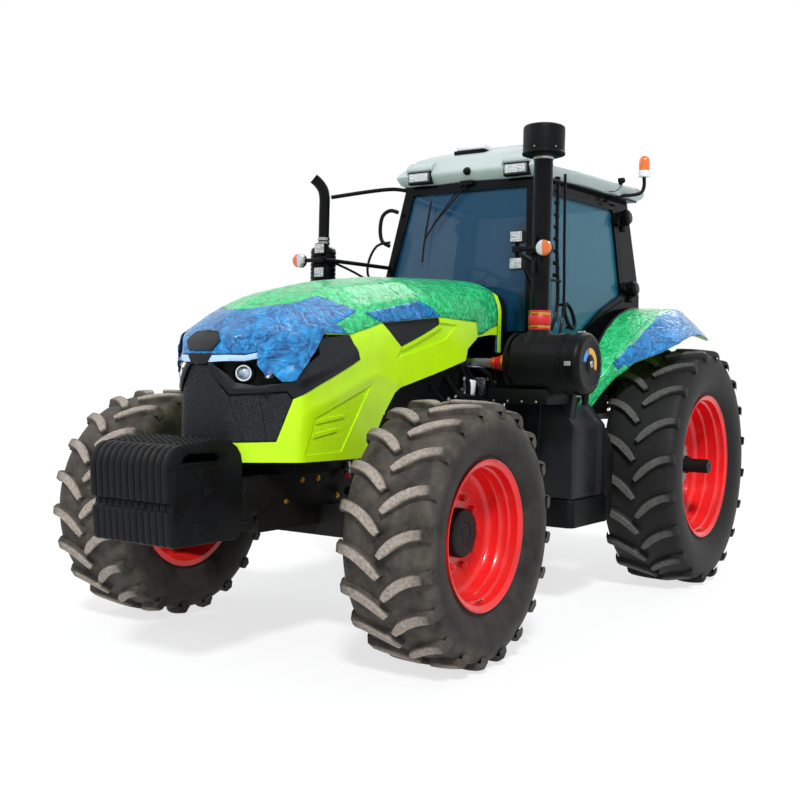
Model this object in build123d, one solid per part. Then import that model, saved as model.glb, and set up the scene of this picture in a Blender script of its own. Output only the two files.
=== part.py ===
from build123d import *
import math
import os

# Farm tractor, four-wheel drive, with front ballast.
# Millimetres. +X is forward, +Y is the tractor's left, +Z is up.
# The origin lies on the ground under the middle of the overall length.
os.makedirs("parts", exist_ok=True)

# ---------------------------------------------------------------- driving sizes
WHEELBASE = 3300.0
FRONT_REACH = 1330.0          # front axle to the face of the ballast weights
REAR_REACH = 1200.0           # rear axle to the ends of the lower links
REAR_AXLE_X = (REAR_REACH - FRONT_REACH - WHEELBASE) / 2
FRONT_AXLE_X = REAR_AXLE_X + WHEELBASE
SEAT_GAP = 0.3                # between round pieces that sit on one another
RUNNING_GAP = 0.05            # radial clearance of a shaft in its bore
PANEL_GAP = 6.0               # between a door or hood and what frames it


def rear(distance):
    """X of a place that lies this far ahead of the rear axle."""
    return REAR_AXLE_X + distance


def front(distance):
    """X of a place that lies this far ahead of the front axle."""
    return FRONT_AXLE_X + distance


# wheels: radius to the lug tips, half width, rim seat radius, flange radius
FRONT_TRACK = 2172.0
REAR_TRACK = 2351.0
FRONT_TYRE_R = 720.0
REAR_TYRE_R = 915.0
FRONT_TYRE_HALF = 270.0
REAR_TYRE_HALF = 287.5
LUG_HEIGHT = 46.0
LUG_COUNT = 20                # on each half of a tyre
LUG_WIDTH = 52.0
TYRE_SIDES = 20
BEAD_HEIGHT = 38.0            # rim seat to the corners of the bead
FRONT_SEAT_R = 384.0
REAR_SEAT_R = 527.0
FLANGE_HEIGHT = 24.0
RIM_WALL = 12.0
FRONT_FLANGE_OUT = 225.0      # tyre centre to the outside of the rim flange
REAR_FLANGE_OUT = 238.0
FLANGE_THICK = 14.0
DISC_THICK = 16.0

# ---------------------------------------------------------------- shape helpers


def block(x0, x1, y0, y1, z0, z1):
    """A box from its six faces."""
    middle = ((x0 + x1) / 2, (y0 + y1) / 2, (z0 + z1) / 2)
    return Pos(*middle) * Box(x1 - x0, y1 - y0, z1 - z0)


def side_prism(points, y0, y1):
    """A prism across the tractor from an outline of (x, z) points."""
    plane = Plane(origin=(0, y0, 0), x_dir=(1, 0, 0), z_dir=(0, -1, 0))
    face = plane * make_face(Polyline(*points, close=True))
    return extrude(face, amount=y1 - y0, dir=(0, 1, 0))


def plan_prism(points, z0, z1):
    """A prism upward from an outline of (x, y) points."""
    face = Plane.XY.offset(z0) * make_face(Polyline(*points, close=True))
    return extrude(face, amount=z1 - z0, dir=(0, 0, 1))


def end_prism(points, x0, x1):
    """A prism along the tractor from an outline of (y, z) points."""
    plane = Plane(origin=(x0, 0, 0), x_dir=(0, 1, 0), z_dir=(1, 0, 0))
    face = plane * make_face(Polyline(*points, close=True))
    return extrude(face, amount=x1 - x0, dir=(1, 0, 0))


def rod(start, end, radius):
    """A round bar between two points."""
    run = Vector(*end) - Vector(*start)
    bar = Cylinder(radius, run.length, align=(Align.CENTER, Align.CENTER, Align.MIN))
    return Plane(origin=start, z_dir=run) * bar


def cross_bar(x, z, radius, y0, y1):
    return rod((x, y0, z), (x, y1, z), radius)


def upright(x, y, radius, z0, z1):
    return rod((x, y, z0), (x, y, z1), radius)


def eye(place, radius, middle_y, thick):
    """A round boss across the tractor about an (x, z) place."""
    return cross_bar(*place, radius, middle_y - thick / 2, middle_y + thick / 2)


def bent_tube(points, radius, bend):
    """A tube along straight runs with one bend radius."""
    path = FilletPolyline(*points, radius=bend)
    section = Plane(origin=path @ 0, z_dir=path % 0) * Circle(radius)
    return sweep(section, path=path)


def mirrored(shape):
    """The same piece on the tractor's right."""
    return mirror(shape, about=Plane.XZ)


def write(name, shape):
    shape.label = name
    export_step(shape, "parts/" + name + ".step")


def write_pair(name, left_shape):
    write(name + "_left", left_shape)
    write(name + "_right", mirrored(left_shape))


# ---------------------------------------------------------------- tyres

# profile between the beads: share of the half width, share of the height from
# bead to tread
TYRE_PROFILE = [
    (-1.00, 0.50),
    (-0.96, 1.00),
    (0.96, 1.00),
    (1.00, 0.50),
]
# footprint of a lug, from the middle of the tread outward: share of the half
# width, share of the lug pitch by which it leads there
LUG_PATH = [
    (0.02, 0.00),
    (0.42, 0.46),
    (0.94, 0.66),
]
LUG_STEP = 360.0 / LUG_COUNT
LUG_ROOT_SHARE = 0.90         # lugs start this far out inside the carcass


def lug_half_span(tip_radius):
    """Half of a lug's length around the tyre."""
    pitch = 2 * math.pi * tip_radius / LUG_COUNT
    return (LUG_PATH[-1][1] * pitch + LUG_WIDTH) / 2


def rolling_radius(tip_radius):
    """Height of the axle when the staggered lugs stand on the ground."""
    corner = math.degrees(math.asin(lug_half_span(tip_radius) / tip_radius))
    return tip_radius * math.cos(math.radians(LUG_STEP / 2 - corner))


def tyre(tip_radius, half_width, seat_radius, flange_out):
    """A tyre about the Y axis whose lugs climb outward at its front."""
    bead_out = flange_out - FLANGE_THICK
    tread_radius = tip_radius - LUG_HEIGHT
    bead_radius = seat_radius + BEAD_HEIGHT
    profile = [(-bead_out, bead_radius)]
    for across, height in TYRE_PROFILE:
        profile.append((across * half_width, bead_radius + (tread_radius - bead_radius) * height))
    profile.append((bead_out, bead_radius))
    rings = []
    for y, radius in profile:
        plane = Plane(origin=(0, y, 0), x_dir=(1, 0, 0), z_dir=(0, 1, 0))
        rings.append(plane * RegularPolygon(radius, TYRE_SIDES))
    carcass = loft(rings, ruled=True)
    bore = RegularPolygon(seat_radius + SEAT_GAP, TYRE_SIDES, major_radius=False)
    plane = Plane(origin=(0, -half_width, 0), x_dir=(1, 0, 0), z_dir=(0, 1, 0))
    carcass -= extrude(plane * bore, amount=2 * half_width, dir=(0, 1, 0))

    pitch = 2 * math.pi * tip_radius / LUG_COUNT
    half_span = lug_half_span(tip_radius)
    trailing = []
    leading = []
    for across, lead in LUG_PATH:
        along = lead * pitch - half_span
        trailing.append((along, -across * half_width))
        leading.append((along + LUG_WIDTH, -across * half_width))
    top_radius = math.sqrt(tip_radius ** 2 - half_span ** 2)
    root_radius = tread_radius * LUG_ROOT_SHARE
    plane = Plane(origin=(root_radius, 0, 0), x_dir=(0, 0, 1), z_dir=(1, 0, 0))
    outline = Polyline(*trailing, *reversed(leading), close=True)
    lug = extrude(plane * make_face(outline), amount=top_radius - root_radius, dir=(1, 0, 0))
    other_lug = mirrored(lug)
    lugs = []
    for index in range(LUG_COUNT):
        lugs.append(Rot(0, 90 + index * LUG_STEP, 0) * lug)
        lugs.append(Rot(0, 90 + (index + 0.5) * LUG_STEP, 0) * other_lug)
    return carcass.fuse(*lugs)


# ---------------------------------------------------------------- rims and hubs
FRONT_WHEEL = (FRONT_AXLE_X, FRONT_TRACK / 2, rolling_radius(FRONT_TYRE_R))
REAR_WHEEL = (REAR_AXLE_X, REAR_TRACK / 2, rolling_radius(REAR_TYRE_R))
FRONT_Z = FRONT_WHEEL[2]
REAR_Z = REAR_WHEEL[2]
FRONT_DISC_Y = 35.0           # outer face of the disc, outward from the tyre centre
REAR_DISC_Y = -20.0
FRONT_HUB_R = 160.0
FRONT_HUB_BORE_R = 100.0
FRONT_HUB_DEPTH = 120.0
FRONT_CAP_R = 135.0
FRONT_CAP_OUT = 90.0          # outer face of the hub cap from the tyre centre
REAR_HUB_R = 300.0            # pale cast ring that the disc bolts to
REAR_HUB_THICK = 30.0
REAR_HUB_CORE_R = 190.0
REAR_HUB_CORE_OUT = 45.0
AXLE_BAR_R = 55.0
AXLE_BAR_END = 265.0          # outer end of the axle bar from the tyre centre
AXLE_BAR_IN = 430.0           # inner end, inside the axle housing


def rim(seat_radius, flange_out, disc_out, disc_hole_radius):
    """A drop-centre rim about the Y axis with its disc."""
    flange_radius = seat_radius + FLANGE_HEIGHT
    lip = flange_out - FLANGE_THICK
    half = [
        (seat_radius - RIM_WALL, -flange_out),
        (flange_radius, -flange_out),
        (flange_radius, -lip),
        (seat_radius, -lip),
        (seat_radius, lip),
        (flange_radius, lip),
        (flange_radius, flange_out),
        (seat_radius - RIM_WALL, flange_out),
    ]
    face = make_face(Polyline(*half, close=True))
    barrel = revolve(face, axis=Axis.Y, revolution_arc=360)
    disc = cross_bar(0, 0, seat_radius - RIM_WALL, disc_out - DISC_THICK, disc_out)
    disc -= cross_bar(0, 0, disc_hole_radius, disc_out - DISC_THICK, disc_out)
    return barrel.fuse(disc)


def front_hub():
    """The planetary hub that turns on the knuckle's spindle."""
    inner = FRONT_DISC_Y - DISC_THICK
    drum = cross_bar(0, 0, FRONT_HUB_R, inner - FRONT_HUB_DEPTH, inner)
    drum += cross_bar(0, 0, FRONT_CAP_R, inner, FRONT_CAP_OUT)
    return drum - cross_bar(0, 0, FRONT_HUB_BORE_R + RUNNING_GAP, inner - FRONT_HUB_DEPTH, inner)


def rear_hub():
    """The cast hub clamped on its axle bar, which runs into the axle housing."""
    inner = REAR_DISC_Y - DISC_THICK - REAR_HUB_THICK
    hub = cross_bar(0, 0, REAR_HUB_R, inner, inner + REAR_HUB_THICK)
    hub += cross_bar(0, 0, REAR_HUB_CORE_R, inner - 60, REAR_HUB_CORE_OUT)
    hub += cross_bar(0, 0, AXLE_BAR_R, -AXLE_BAR_IN, AXLE_BAR_END)
    return hub


# ---------------------------------------------------------------- running gear
KINGPIN_Y = 800.0
KINGPIN_R = 32.0
BEAM_HALF_HEIGHT = 90.0
BEAM_HALF_DEPTH = 95.0
BOSS_R = 72.0
BOSS_HALF = 105.0
THRUST_GAP = 1.0              # between the boss and the arms of the knuckle
KNUCKLE_ARM = 38.0
KNUCKLE_HALF_DEPTH = 75.0
KNUCKLE_WEB_IN = 884.0
KNUCKLE_WEB_OUT = 930.0
AXLE_HOUSING_R = 150.0
AXLE_HOUSING_END = 830.0
AXLE_FLANGE_R = 190.0
HULL_HALF = 235.0             # half width of the transmission housing
HULL_BOTTOM = 640.0
HULL_TOP = 1180.0
REAR_CASE_HALF = 290.0
REAR_CASE_BACK = -360.0
REAR_CASE_FRONT = 430.0
REAR_CASE_BOTTOM = 560.0
REAR_CASE_TOP = 1330.0
HULL_FRONT = 1750.0
RAIL_Y = 205.0
RAIL_THICK = 55.0
RAIL_BOTTOM = 700.0
RAIL_TOP = 1010.0
RAIL_FRONT = 640.0            # ahead of the front axle
ENGINE_HALF = 290.0
ENGINE_BOTTOM = 860.0
ENGINE_TOP = 1720.0
ENGINE_FRONT = 120.0          # ahead of the front axle
COOLER_HALF = 370.0
COOLER_DEPTH = 300.0
COOLER_GAP = 40.0
COOLER_TOP = 1740.0


def front_axle():
    """The axle beam with a pivot block at its middle and a boss at each end."""
    beam = block(FRONT_AXLE_X - BEAM_HALF_DEPTH, FRONT_AXLE_X + BEAM_HALF_DEPTH, -KINGPIN_Y, KINGPIN_Y,
                 FRONT_Z - BEAM_HALF_HEIGHT, FRONT_Z + BEAM_HALF_HEIGHT)
    beam -= block(front(-200), front(200), KINGPIN_Y - 40, KINGPIN_Y + 40, FRONT_Z - 200, FRONT_Z + 200)
    beam -= block(front(-200), front(200), -KINGPIN_Y - 40, -KINGPIN_Y + 40, FRONT_Z - 200, FRONT_Z + 200)
    for side in (1, -1):
        boss = upright(FRONT_AXLE_X, side * KINGPIN_Y, BOSS_R, FRONT_Z - BOSS_HALF, FRONT_Z + BOSS_HALF)
        beam += boss
    for side in (1, -1):
        beam -= upright(FRONT_AXLE_X, side * KINGPIN_Y, KINGPIN_R + RUNNING_GAP, FRONT_Z - 200, FRONT_Z + 200)
    return beam


def knuckle():
    """The left steering knuckle: a fork with its kingpin and the wheel spindle."""
    top = FRONT_Z + BOSS_HALF + THRUST_GAP
    bottom = FRONT_Z - BOSS_HALF - THRUST_GAP
    x0 = FRONT_AXLE_X - KNUCKLE_HALF_DEPTH
    x1 = FRONT_AXLE_X + KNUCKLE_HALF_DEPTH
    fork = block(x0, x1, KNUCKLE_WEB_IN, KNUCKLE_WEB_OUT, bottom - KNUCKLE_ARM, top + KNUCKLE_ARM)
    fork += block(x0, x1, KINGPIN_Y - 60, KNUCKLE_WEB_OUT, top, top + KNUCKLE_ARM)
    fork += block(x0, x1, KINGPIN_Y - 60, KNUCKLE_WEB_OUT, bottom - KNUCKLE_ARM, bottom)
    fork += upright(FRONT_AXLE_X, KINGPIN_Y, KINGPIN_R, bottom, top)
    hub_inner = FRONT_TRACK / 2 + FRONT_DISC_Y - DISC_THICK - FRONT_HUB_DEPTH
    spindle_end = FRONT_TRACK / 2 + FRONT_DISC_Y - DISC_THICK - THRUST_GAP
    fork += cross_bar(FRONT_AXLE_X, FRONT_Z, FRONT_HUB_R, KNUCKLE_WEB_OUT, hub_inner - 5)
    fork += cross_bar(FRONT_AXLE_X, FRONT_Z, FRONT_HUB_BORE_R, KNUCKLE_WEB_OUT, spindle_end)
    return fork


def front_frame():
    """Two cast side rails with the bolster that holds the axle and the ballast."""
    frame = block(rear(HULL_FRONT), front(RAIL_FRONT), RAIL_Y, RAIL_Y + RAIL_THICK, RAIL_BOTTOM, RAIL_TOP)
    frame += mirrored(frame)
    beam_top = FRONT_Z + BEAM_HALF_HEIGHT
    frame -= block(FRONT_AXLE_X - BEAM_HALF_DEPTH, FRONT_AXLE_X + BEAM_HALF_DEPTH, -400, 400, 0, beam_top)
    frame += block(front(-260), front(260), -RAIL_Y, RAIL_Y, beam_top, ENGINE_BOTTOM)
    frame += block(front(RAIL_FRONT - 260), front(RAIL_FRONT), -RAIL_Y, RAIL_Y, RAIL_BOTTOM, RAIL_TOP)
    return frame


def engine():
    """The engine as one plain block, narrow where it stands between the rails."""
    block_low = block(rear(HULL_FRONT), front(ENGINE_FRONT), -RAIL_Y, RAIL_Y, ENGINE_BOTTOM, RAIL_TOP)
    block_high = block(rear(HULL_FRONT), front(ENGINE_FRONT), -ENGINE_HALF, ENGINE_HALF, RAIL_TOP, ENGINE_TOP)
    return block_low + block_high


def cooler():
    """The radiator pack behind the grille."""
    back = front(ENGINE_FRONT + COOLER_GAP)
    return block(back, back + COOLER_DEPTH, -COOLER_HALF, COOLER_HALF, RAIL_TOP, COOLER_TOP)


def transmission():
    """The transmission housing and the rear axle case, bored for the shafts behind."""
    case = block(rear(REAR_CASE_FRONT), rear(HULL_FRONT), -HULL_HALF, HULL_HALF, HULL_BOTTOM, HULL_TOP)
    case += block(rear(REAR_CASE_BACK), rear(REAR_CASE_FRONT), -REAR_CASE_HALF, REAR_CASE_HALF,
                  REAR_CASE_BOTTOM, REAR_CASE_TOP)
    for side in (1, -1):
        case += cross_bar(*LINK_PIVOT, LINK_PIN_R, side * REAR_CASE_HALF, side * (LINK_ROOT_Y + 40))
    case -= cross_bar(*ARM_PIVOT, ROCKSHAFT_R + RUNNING_GAP, -REAR_CASE_HALF, REAR_CASE_HALF)
    back = rear(REAR_CASE_BACK)
    case -= rod((back, 0, PTO_Z), (back + PTO_DEPTH + THRUST_GAP, 0, PTO_Z), PTO_JOURNAL_R + RUNNING_GAP)
    return case


def axle_housing():
    """The left axle tube, bored for the axle bar."""
    tube = cross_bar(REAR_AXLE_X, REAR_Z, AXLE_HOUSING_R, REAR_CASE_HALF, AXLE_HOUSING_END)
    tube += cross_bar(REAR_AXLE_X, REAR_Z, AXLE_FLANGE_R, REAR_CASE_HALF, REAR_CASE_HALF + 40)
    bore = cross_bar(REAR_AXLE_X, REAR_Z, AXLE_BAR_R + RUNNING_GAP,
                     REAR_TRACK / 2 - AXLE_BAR_IN - THRUST_GAP, AXLE_HOUSING_END)
    return tube - bore


# ---------------------------------------------------------------- ballast
WEIGHT_COUNT = 12
WEIGHT_PITCH = 46.5
WEIGHT_THICK = 43.5
WEIGHT_BACK = -540.0          # behind the front face
# outline of a weight: distance behind the front face, height
WEIGHT_OUTLINE = [
    (0, 1078),
    (-62, 1196),
    (-385, 1216),
    (-520, 1160),
    (-540, 1110),
    (-540, 735),
    (-500, 690),
    (-60, 690),
    (-36, 712),
    (-20, 860),
    (-42, 875),
    (-42, 900),
    (-12, 915),
]
WEIGHT_SLOT = [(-90, 1105), (-130, 1150), (-330, 1150), (-370, 1105)]
CARRIER_TOP = 1000.0
CARRIER_HALF = 250.0


def ballast():
    """A stack of slab weights hung side by side."""
    face_x = front(FRONT_REACH)
    outline = [(face_x + back, height) for back, height in WEIGHT_OUTLINE]
    slot = [(face_x + back, height) for back, height in WEIGHT_SLOT]
    plates = []
    for index in range(WEIGHT_COUNT):
        middle = (index - (WEIGHT_COUNT - 1) / 2) * WEIGHT_PITCH
        plate = side_prism(outline, middle - WEIGHT_THICK / 2, middle + WEIGHT_THICK / 2)
        plates.append(plate - side_prism(slot, middle - WEIGHT_THICK, middle + WEIGHT_THICK))
    return plates


def weight_carrier():
    """The cast tongue from the front frame that the weights hang on."""
    back = front(RAIL_FRONT)
    face = front(FRONT_REACH) + WEIGHT_BACK
    carrier = block(back, face, -CARRIER_HALF, CARRIER_HALF, 760, CARRIER_TOP)
    return carrier


# ---------------------------------------------------------------- hood
HOOD_WALL = 14.0
HOOD_BOTTOM = 1080.0
HOOD_BACK = 1690.0
HOOD_HINGE = (rear(1682.0), 2212.0)
HOOD_HINGE_Y = 165.0
HOOD_EYE_HALF = 15.0
HOOD_EYE_R = 14.0
HOOD_PIN_R = 8.0
# cross sections: x, crown height, crest y and z, shoulder y and z, side y
HOOD_SECTIONS = [
    (front(860), 1700, 180, 1690, 330, 1640, 350),
    (front(650), 1870, 200, 1845, 395, 1700, 430),
    (front(300), 2030, 220, 2000, 415, 1850, 455),
    (front(-100), 2120, 240, 2090, 420, 1960, 462),
    (rear(2600), 2200, 260, 2170, 425, 2060, 465),
    (rear(HOOD_BACK), 2262, 280, 2235, 425, 2160, 460),
]
# bowed plan of the nose: distance ahead of the front axle, y
NOSE_PLAN = [(845, 0), (815, 150), (735, 235), (610, 350), (480, 470)]
# underside of the left flank, from the nose back: x, z
HOOD_LOWER_EDGE = [
    (front(-110), 1076),
    (front(-120), 1158),
    (front(-235), 1330),
    (front(-350), 1459),
    (front(-405), 1489),
    (rear(2115), 1672),
    (rear(2090), 1752),
    (rear(1960), 1835),
    (rear(1780), 1859),
    (rear(HOOD_BACK), 1862),
]


def hood_solid(inset):
    """The hood's outer form, drawn in by an inset on every face but the rear and the bottom."""
    faces = []
    for x, crown, crest_y, crest_z, shoulder_y, shoulder_z, side_y in HOOD_SECTIONS:
        half = [
            (side_y - inset, HOOD_BOTTOM - 2 * inset),
            (side_y - inset, shoulder_z - 130),
            (shoulder_y - inset, shoulder_z - inset),
            (crest_y, crest_z - inset),
            (0, crown - inset),
        ]
        other = [(-y, z) for y, z in half[-2::-1]]
        plane = Plane(origin=(x, 0, 0), x_dir=(0, 1, 0), z_dir=(1, 0, 0))
        faces.append(plane * make_face(Polyline(*half, *other, close=True)))
    body = loft(faces, ruled=True)
    nose = [(front(ahead) - inset, y - inset * (y > 0)) for ahead, y in NOSE_PLAN]
    right = [(x, -y) for x, y in nose[:0:-1]]
    back = [(rear(HOOD_BACK) - 1, 470), (rear(HOOD_BACK) - 1, -470)]
    plan = plan_prism(nose + back + right, HOOD_BOTTOM - 3 * inset, 2400)
    return body & plan


def nose_outline(inset):
    """Side outline of the nose, leaning back toward the bottom."""
    return [
        (front(775) - inset, HOOD_BOTTOM - 3 * inset),
        (front(783) - inset, 1190),
        (front(840) - inset, 1640),
        (front(776) - inset, 1790),
        (front(700) - inset, 2400),
        (rear(HOOD_BACK), 2400),
        (rear(HOOD_BACK), HOOD_BOTTOM - 3 * inset),
    ]


def hood_shell():
    """The pressed hood, open below and behind, with an eye at each hinge."""
    outer = hood_solid(0) & side_prism(nose_outline(0), -500, 500)
    inner = hood_solid(HOOD_WALL) & side_prism(nose_outline(HOOD_WALL), -500, 500)
    below = HOOD_LOWER_EDGE + [(rear(HOOD_BACK), 1000), (front(-110), 1000)]
    shell = outer - inner - side_prism(below, -500, 500)
    x, z = HOOD_HINGE
    for y in (HOOD_HINGE_Y, -HOOD_HINGE_Y):
        shell += block(x, x + 34, y - HOOD_EYE_HALF, y + HOOD_EYE_HALF, z - 7, z + 26)
        shell += eye(HOOD_HINGE, HOOD_EYE_R, y, 2 * HOOD_EYE_HALF)
        shell -= eye(HOOD_HINGE, HOOD_PIN_R + RUNNING_GAP, y, 2 * HOOD_EYE_HALF)
    return shell


BEZEL_OUTLINE = [
    (front(1000), 1622),
    (front(650), 1632),
    (front(110), 1787),
    (front(10), 1650),
    (front(559), 1425),
    (front(1000), 1440),
]
GRILLE_OUTLINE = [
    (front(1000), 1440),
    (front(559), 1425),
    (front(610), 1192),
    (front(1000), 1192),
]
# the point of the grille between the headlights: y, z
GRILLE_POINT = [(-50, 1600), (50, 1600), (175, 1430), (-175, 1430)]
NOSE_CAP = [(-60, 1600), (60, 1600), (60, 1660), (105, 1705), (0, 1788), (-105, 1705), (-60, 1660)]
SIDE_VENT = [
    (front(-236), 1871),
    (front(-718), 1942),
    (front(-860), 1935),
    (front(-848), 1874),
    (front(-418), 1731),
]


def hood_pieces():
    """The hood parted into its panel, the headlight surround, and the grille and side vents."""
    shell = hood_shell()
    point = end_prism(GRILLE_POINT, front(500), front(1000))
    cap_region = end_prism(NOSE_CAP, front(500), front(1000))
    bezel_region = side_prism(BEZEL_OUTLINE, -500, 500) - point + cap_region
    grille_region = side_prism(GRILLE_OUTLINE, -500, 500) + point - cap_region
    vent_region = side_prism(SIDE_VENT, -500, 500)
    panel = shell - bezel_region - grille_region - vent_region
    return {
        "hood": panel,
        "headlight_surround": shell & bezel_region,
        "grille": shell & (grille_region + vent_region),
    }


# ---------------------------------------------------------------- cab
CAB_FLOOR = 1400.0
CAB_FLOOR_THICK = 60.0
CAB_WALL = 50.0
GLASS = 8.0
CAB_WAIST = 2250.0            # the walls lean inward above this height
ROOF_BOTTOM = 3020.0
CAB_LEAN = 100.0              # from the waist to the roof
CAB_FRONT = 1500.0            # front wall ahead of the rear axle
CAB_BACK = -20.0
CAB_FRONT_HALF = 640.0        # half widths at the waist
CAB_REAR_HALF = 820.0
# side outline of the cab: distance ahead of the rear axle, height
CAB_OUTLINE = [
    (CAB_FRONT, CAB_FLOOR),
    (CAB_FRONT, CAB_WAIST),
    (1330, ROOF_BOTTOM),
    (30, ROOF_BOTTOM),
    (CAB_BACK, CAB_WAIST),
    (CAB_BACK, 1700),
    (330, CAB_FLOOR),
]
LEAN_SLOPE = CAB_LEAN / (ROOF_BOTTOM - CAB_WAIST)
DOOR_FRONT_IN = 60.0          # behind the front wall
DOOR_REAR = 236.0
DOOR_BOTTOM = 1490.0
DOOR_TOP = 2960.0
DOOR_FRAME = 32.0
# low edge of the door, which rises to swing over the fender: distance ahead of the
# rear axle, height
DOOR_LOWER_EDGE = [
    (236, 2200),
    (536, 2075),
    (736, 1945),
    (900, 1810),
    (1036, 1640),
    (1150, DOOR_BOTTOM),
]
# the hinge axis leans with the wall, so the leaf swings forward and rises as it leaves its frame
DOOR_SWING_ROOM = 6.0
DOOR_RISE_ROOM = 8.0
HINGE_HEIGHTS = (2310.0, 2830.0)
HINGE_OUT = 16.0              # door hinge axis outside the cab wall
HINGE_HALF = 20.0
HINGE_EYE_R = 12.0
HINGE_PIN_R = 6.0


def cab_half_width(distance):
    """Half width of the cab's waist at a distance ahead of the rear axle."""
    share = (CAB_FRONT - distance) / (CAB_FRONT - CAB_BACK)
    return CAB_FRONT_HALF + share * (CAB_REAR_HALF - CAB_FRONT_HALF)


def outside_wall(front, back, height, slope):
    """What lies outside a side wall through two plan points, leaning inward by a slope."""
    side = 1 if front[1] > 0 else -1
    along = Vector(back[0] - front[0], back[1] - front[1], 0)
    upward = Vector(0, -side * slope, 1)
    wall = Plane(origin=(front[0], front[1], height), x_dir=along, z_dir=along.cross(upward) * side)
    return wall * block(-2500, 2500, -2500, 2500, 0, 400)


def cab_solid(inset):
    """The cab's form, drawn in by an inset on its walls."""
    middle_x = (CAB_FRONT + CAB_BACK) / 2
    outline = []
    for x, z in CAB_OUTLINE:
        side = 1 if x > middle_x else -1
        height = z
        if z == CAB_FLOOR and inset:
            height = z + CAB_FLOOR_THICK
        outline.append((rear(x - side * inset), height))
    front_x = rear(CAB_FRONT + 10)
    back_x = rear(CAB_BACK - 10)
    front_half = cab_half_width(CAB_FRONT + 10) - inset
    back_half = cab_half_width(CAB_BACK - 10) - inset
    plan = [(front_x, front_half), (back_x, back_half), (back_x, -back_half), (front_x, -front_half)]
    body = side_prism(outline, -900, 900) & plan_prism(plan, CAB_FLOOR, ROOF_BOTTOM)
    for side in (1, -1):
        body -= outside_wall((front_x, side * front_half), (back_x, side * back_half), CAB_WAIST, LEAN_SLOPE)
    return body


def door_outline(inset):
    """The door in side view."""
    slope = (CAB_FRONT - CAB_OUTLINE[2][0]) / (ROOF_BOTTOM - CAB_WAIST)
    front_x = CAB_FRONT - DOOR_FRONT_IN - inset
    top_z = DOOR_TOP - inset
    if inset:
        front_x -= DOOR_SWING_ROOM
        top_z -= DOOR_RISE_ROOM
    outline = [
        (front_x, DOOR_BOTTOM + inset),
        (front_x, CAB_WAIST),
        (front_x - slope * (top_z - CAB_WAIST), top_z),
        (DOOR_REAR + inset, top_z),
        (DOOR_REAR + inset, DOOR_LOWER_EDGE[0][1] + inset),
    ]
    for x, z in DOOR_LOWER_EDGE[1:-1]:
        outline.append((x + 0.6 * inset, z + 0.9 * inset))
    outline.append((DOOR_LOWER_EDGE[-1][0] + 0.8 * inset, DOOR_BOTTOM + inset))
    return [(rear(x), z) for x, z in outline]


# windows from behind or ahead: y, z
WINDSCREEN = [(-575, 1900), (575, 1900), (575, 2250), (485, 2955), (-485, 2955), (-575, 2250)]
REAR_WINDOW = [(-745, 1950), (745, 1950), (745, 2250), (655, 2950), (-655, 2950), (-745, 2250)]


def hinge_parts():
    """The left door's hinge straps, and the cab's brackets with their pins."""
    place = (rear(DOOR_REAR), cab_half_width(DOOR_REAR) + HINGE_OUT, CAB_WAIST)
    leaning = Plane(origin=place, x_dir=(1, 0, 0), z_dir=(0, -LEAN_SLOPE, 1))
    straps = []
    brackets = []
    for height in HINGE_HEIGHTS:
        z = height - CAB_WAIST
        strap = block(0, 70, -30, 4, z - HINGE_HALF, z + HINGE_HALF)
        strap += upright(0, 0, HINGE_EYE_R, z - HINGE_HALF, z + HINGE_HALF)
        strap -= upright(0, 0, HINGE_PIN_R + RUNNING_GAP, z - HINGE_HALF, z + HINGE_HALF)
        straps.append(leaning * strap - cab_solid(0))
        for side in (1, -1):
            low = z + side * (HINGE_HALF + THRUST_GAP)
            high = low + side * 12
            bracket = block(-50, 0, -30, HINGE_EYE_R - 2, min(low, high), max(low, high))
            bracket += upright(0, 0, HINGE_EYE_R, min(low, high), max(low, high))
            brackets.append(leaning * bracket - cab_solid(0))
        brackets.append(leaning * upright(0, 0, HINGE_PIN_R, z - HINGE_HALF - 12, z + HINGE_HALF + 12))
    return straps, brackets


def cab_pieces():
    """The cab parted into its frame, doors and panes."""
    shell = cab_solid(0) - cab_solid(CAB_WALL)
    left = block(rear(-100), rear(1600), 400, 1000, 1300, 3100)
    door_gap = side_prism(door_outline(0), 0, 1000) & left
    door_region = side_prism(door_outline(PANEL_GAP), 0, 1000) & left
    glass_region = side_prism(door_outline(PANEL_GAP + DOOR_FRAME), 0, 1000) & left
    screen_region = end_prism(WINDSCREEN, rear(CAB_OUTLINE[2][0] - CAB_WALL), rear(CAB_FRONT))
    back_region = end_prism(REAR_WINDOW, rear(CAB_BACK), rear(CAB_OUTLINE[3][0] + CAB_WALL))
    pane = cab_solid(20) - cab_solid(20 + GLASS)
    frame = shell - door_gap - mirrored(door_gap) - screen_region - back_region
    straps, brackets = hinge_parts()
    frame = frame.fuse(*brackets, *[mirrored(bracket) for bracket in brackets])
    door = (shell & door_region) - glass_region
    return {
        "cab_frame": frame,
        "cab_glass": Compound([pane & screen_region, pane & back_region]),
        "door": door.fuse(*straps),
        "door_glass": pane & glass_region,
    }


ROOF_CREASE = 3100.0
# side outline of the roof: distance ahead of the rear axle, height
ROOF_OUTLINE = [
    (1335, ROOF_BOTTOM),
    (1385, ROOF_CREASE),
    (1290, 3230),
    (1000, 3335),
    (500, 3330),
    (150, 3240),
    (-90, 3080),
    (-60, ROOF_BOTTOM),
]
ROOF_FRONT_HALF = 640.0       # half widths at the crease
ROOF_REAR_HALF = 840.0
# the side's faces: how far in from the crease each starts, its height and its inward slope
ROOF_SIDES = [
    (0, ROOF_CREASE, -0.5),
    (0, ROOF_CREASE, 1.1),
    (220, 3300, 7.0),
]


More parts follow.
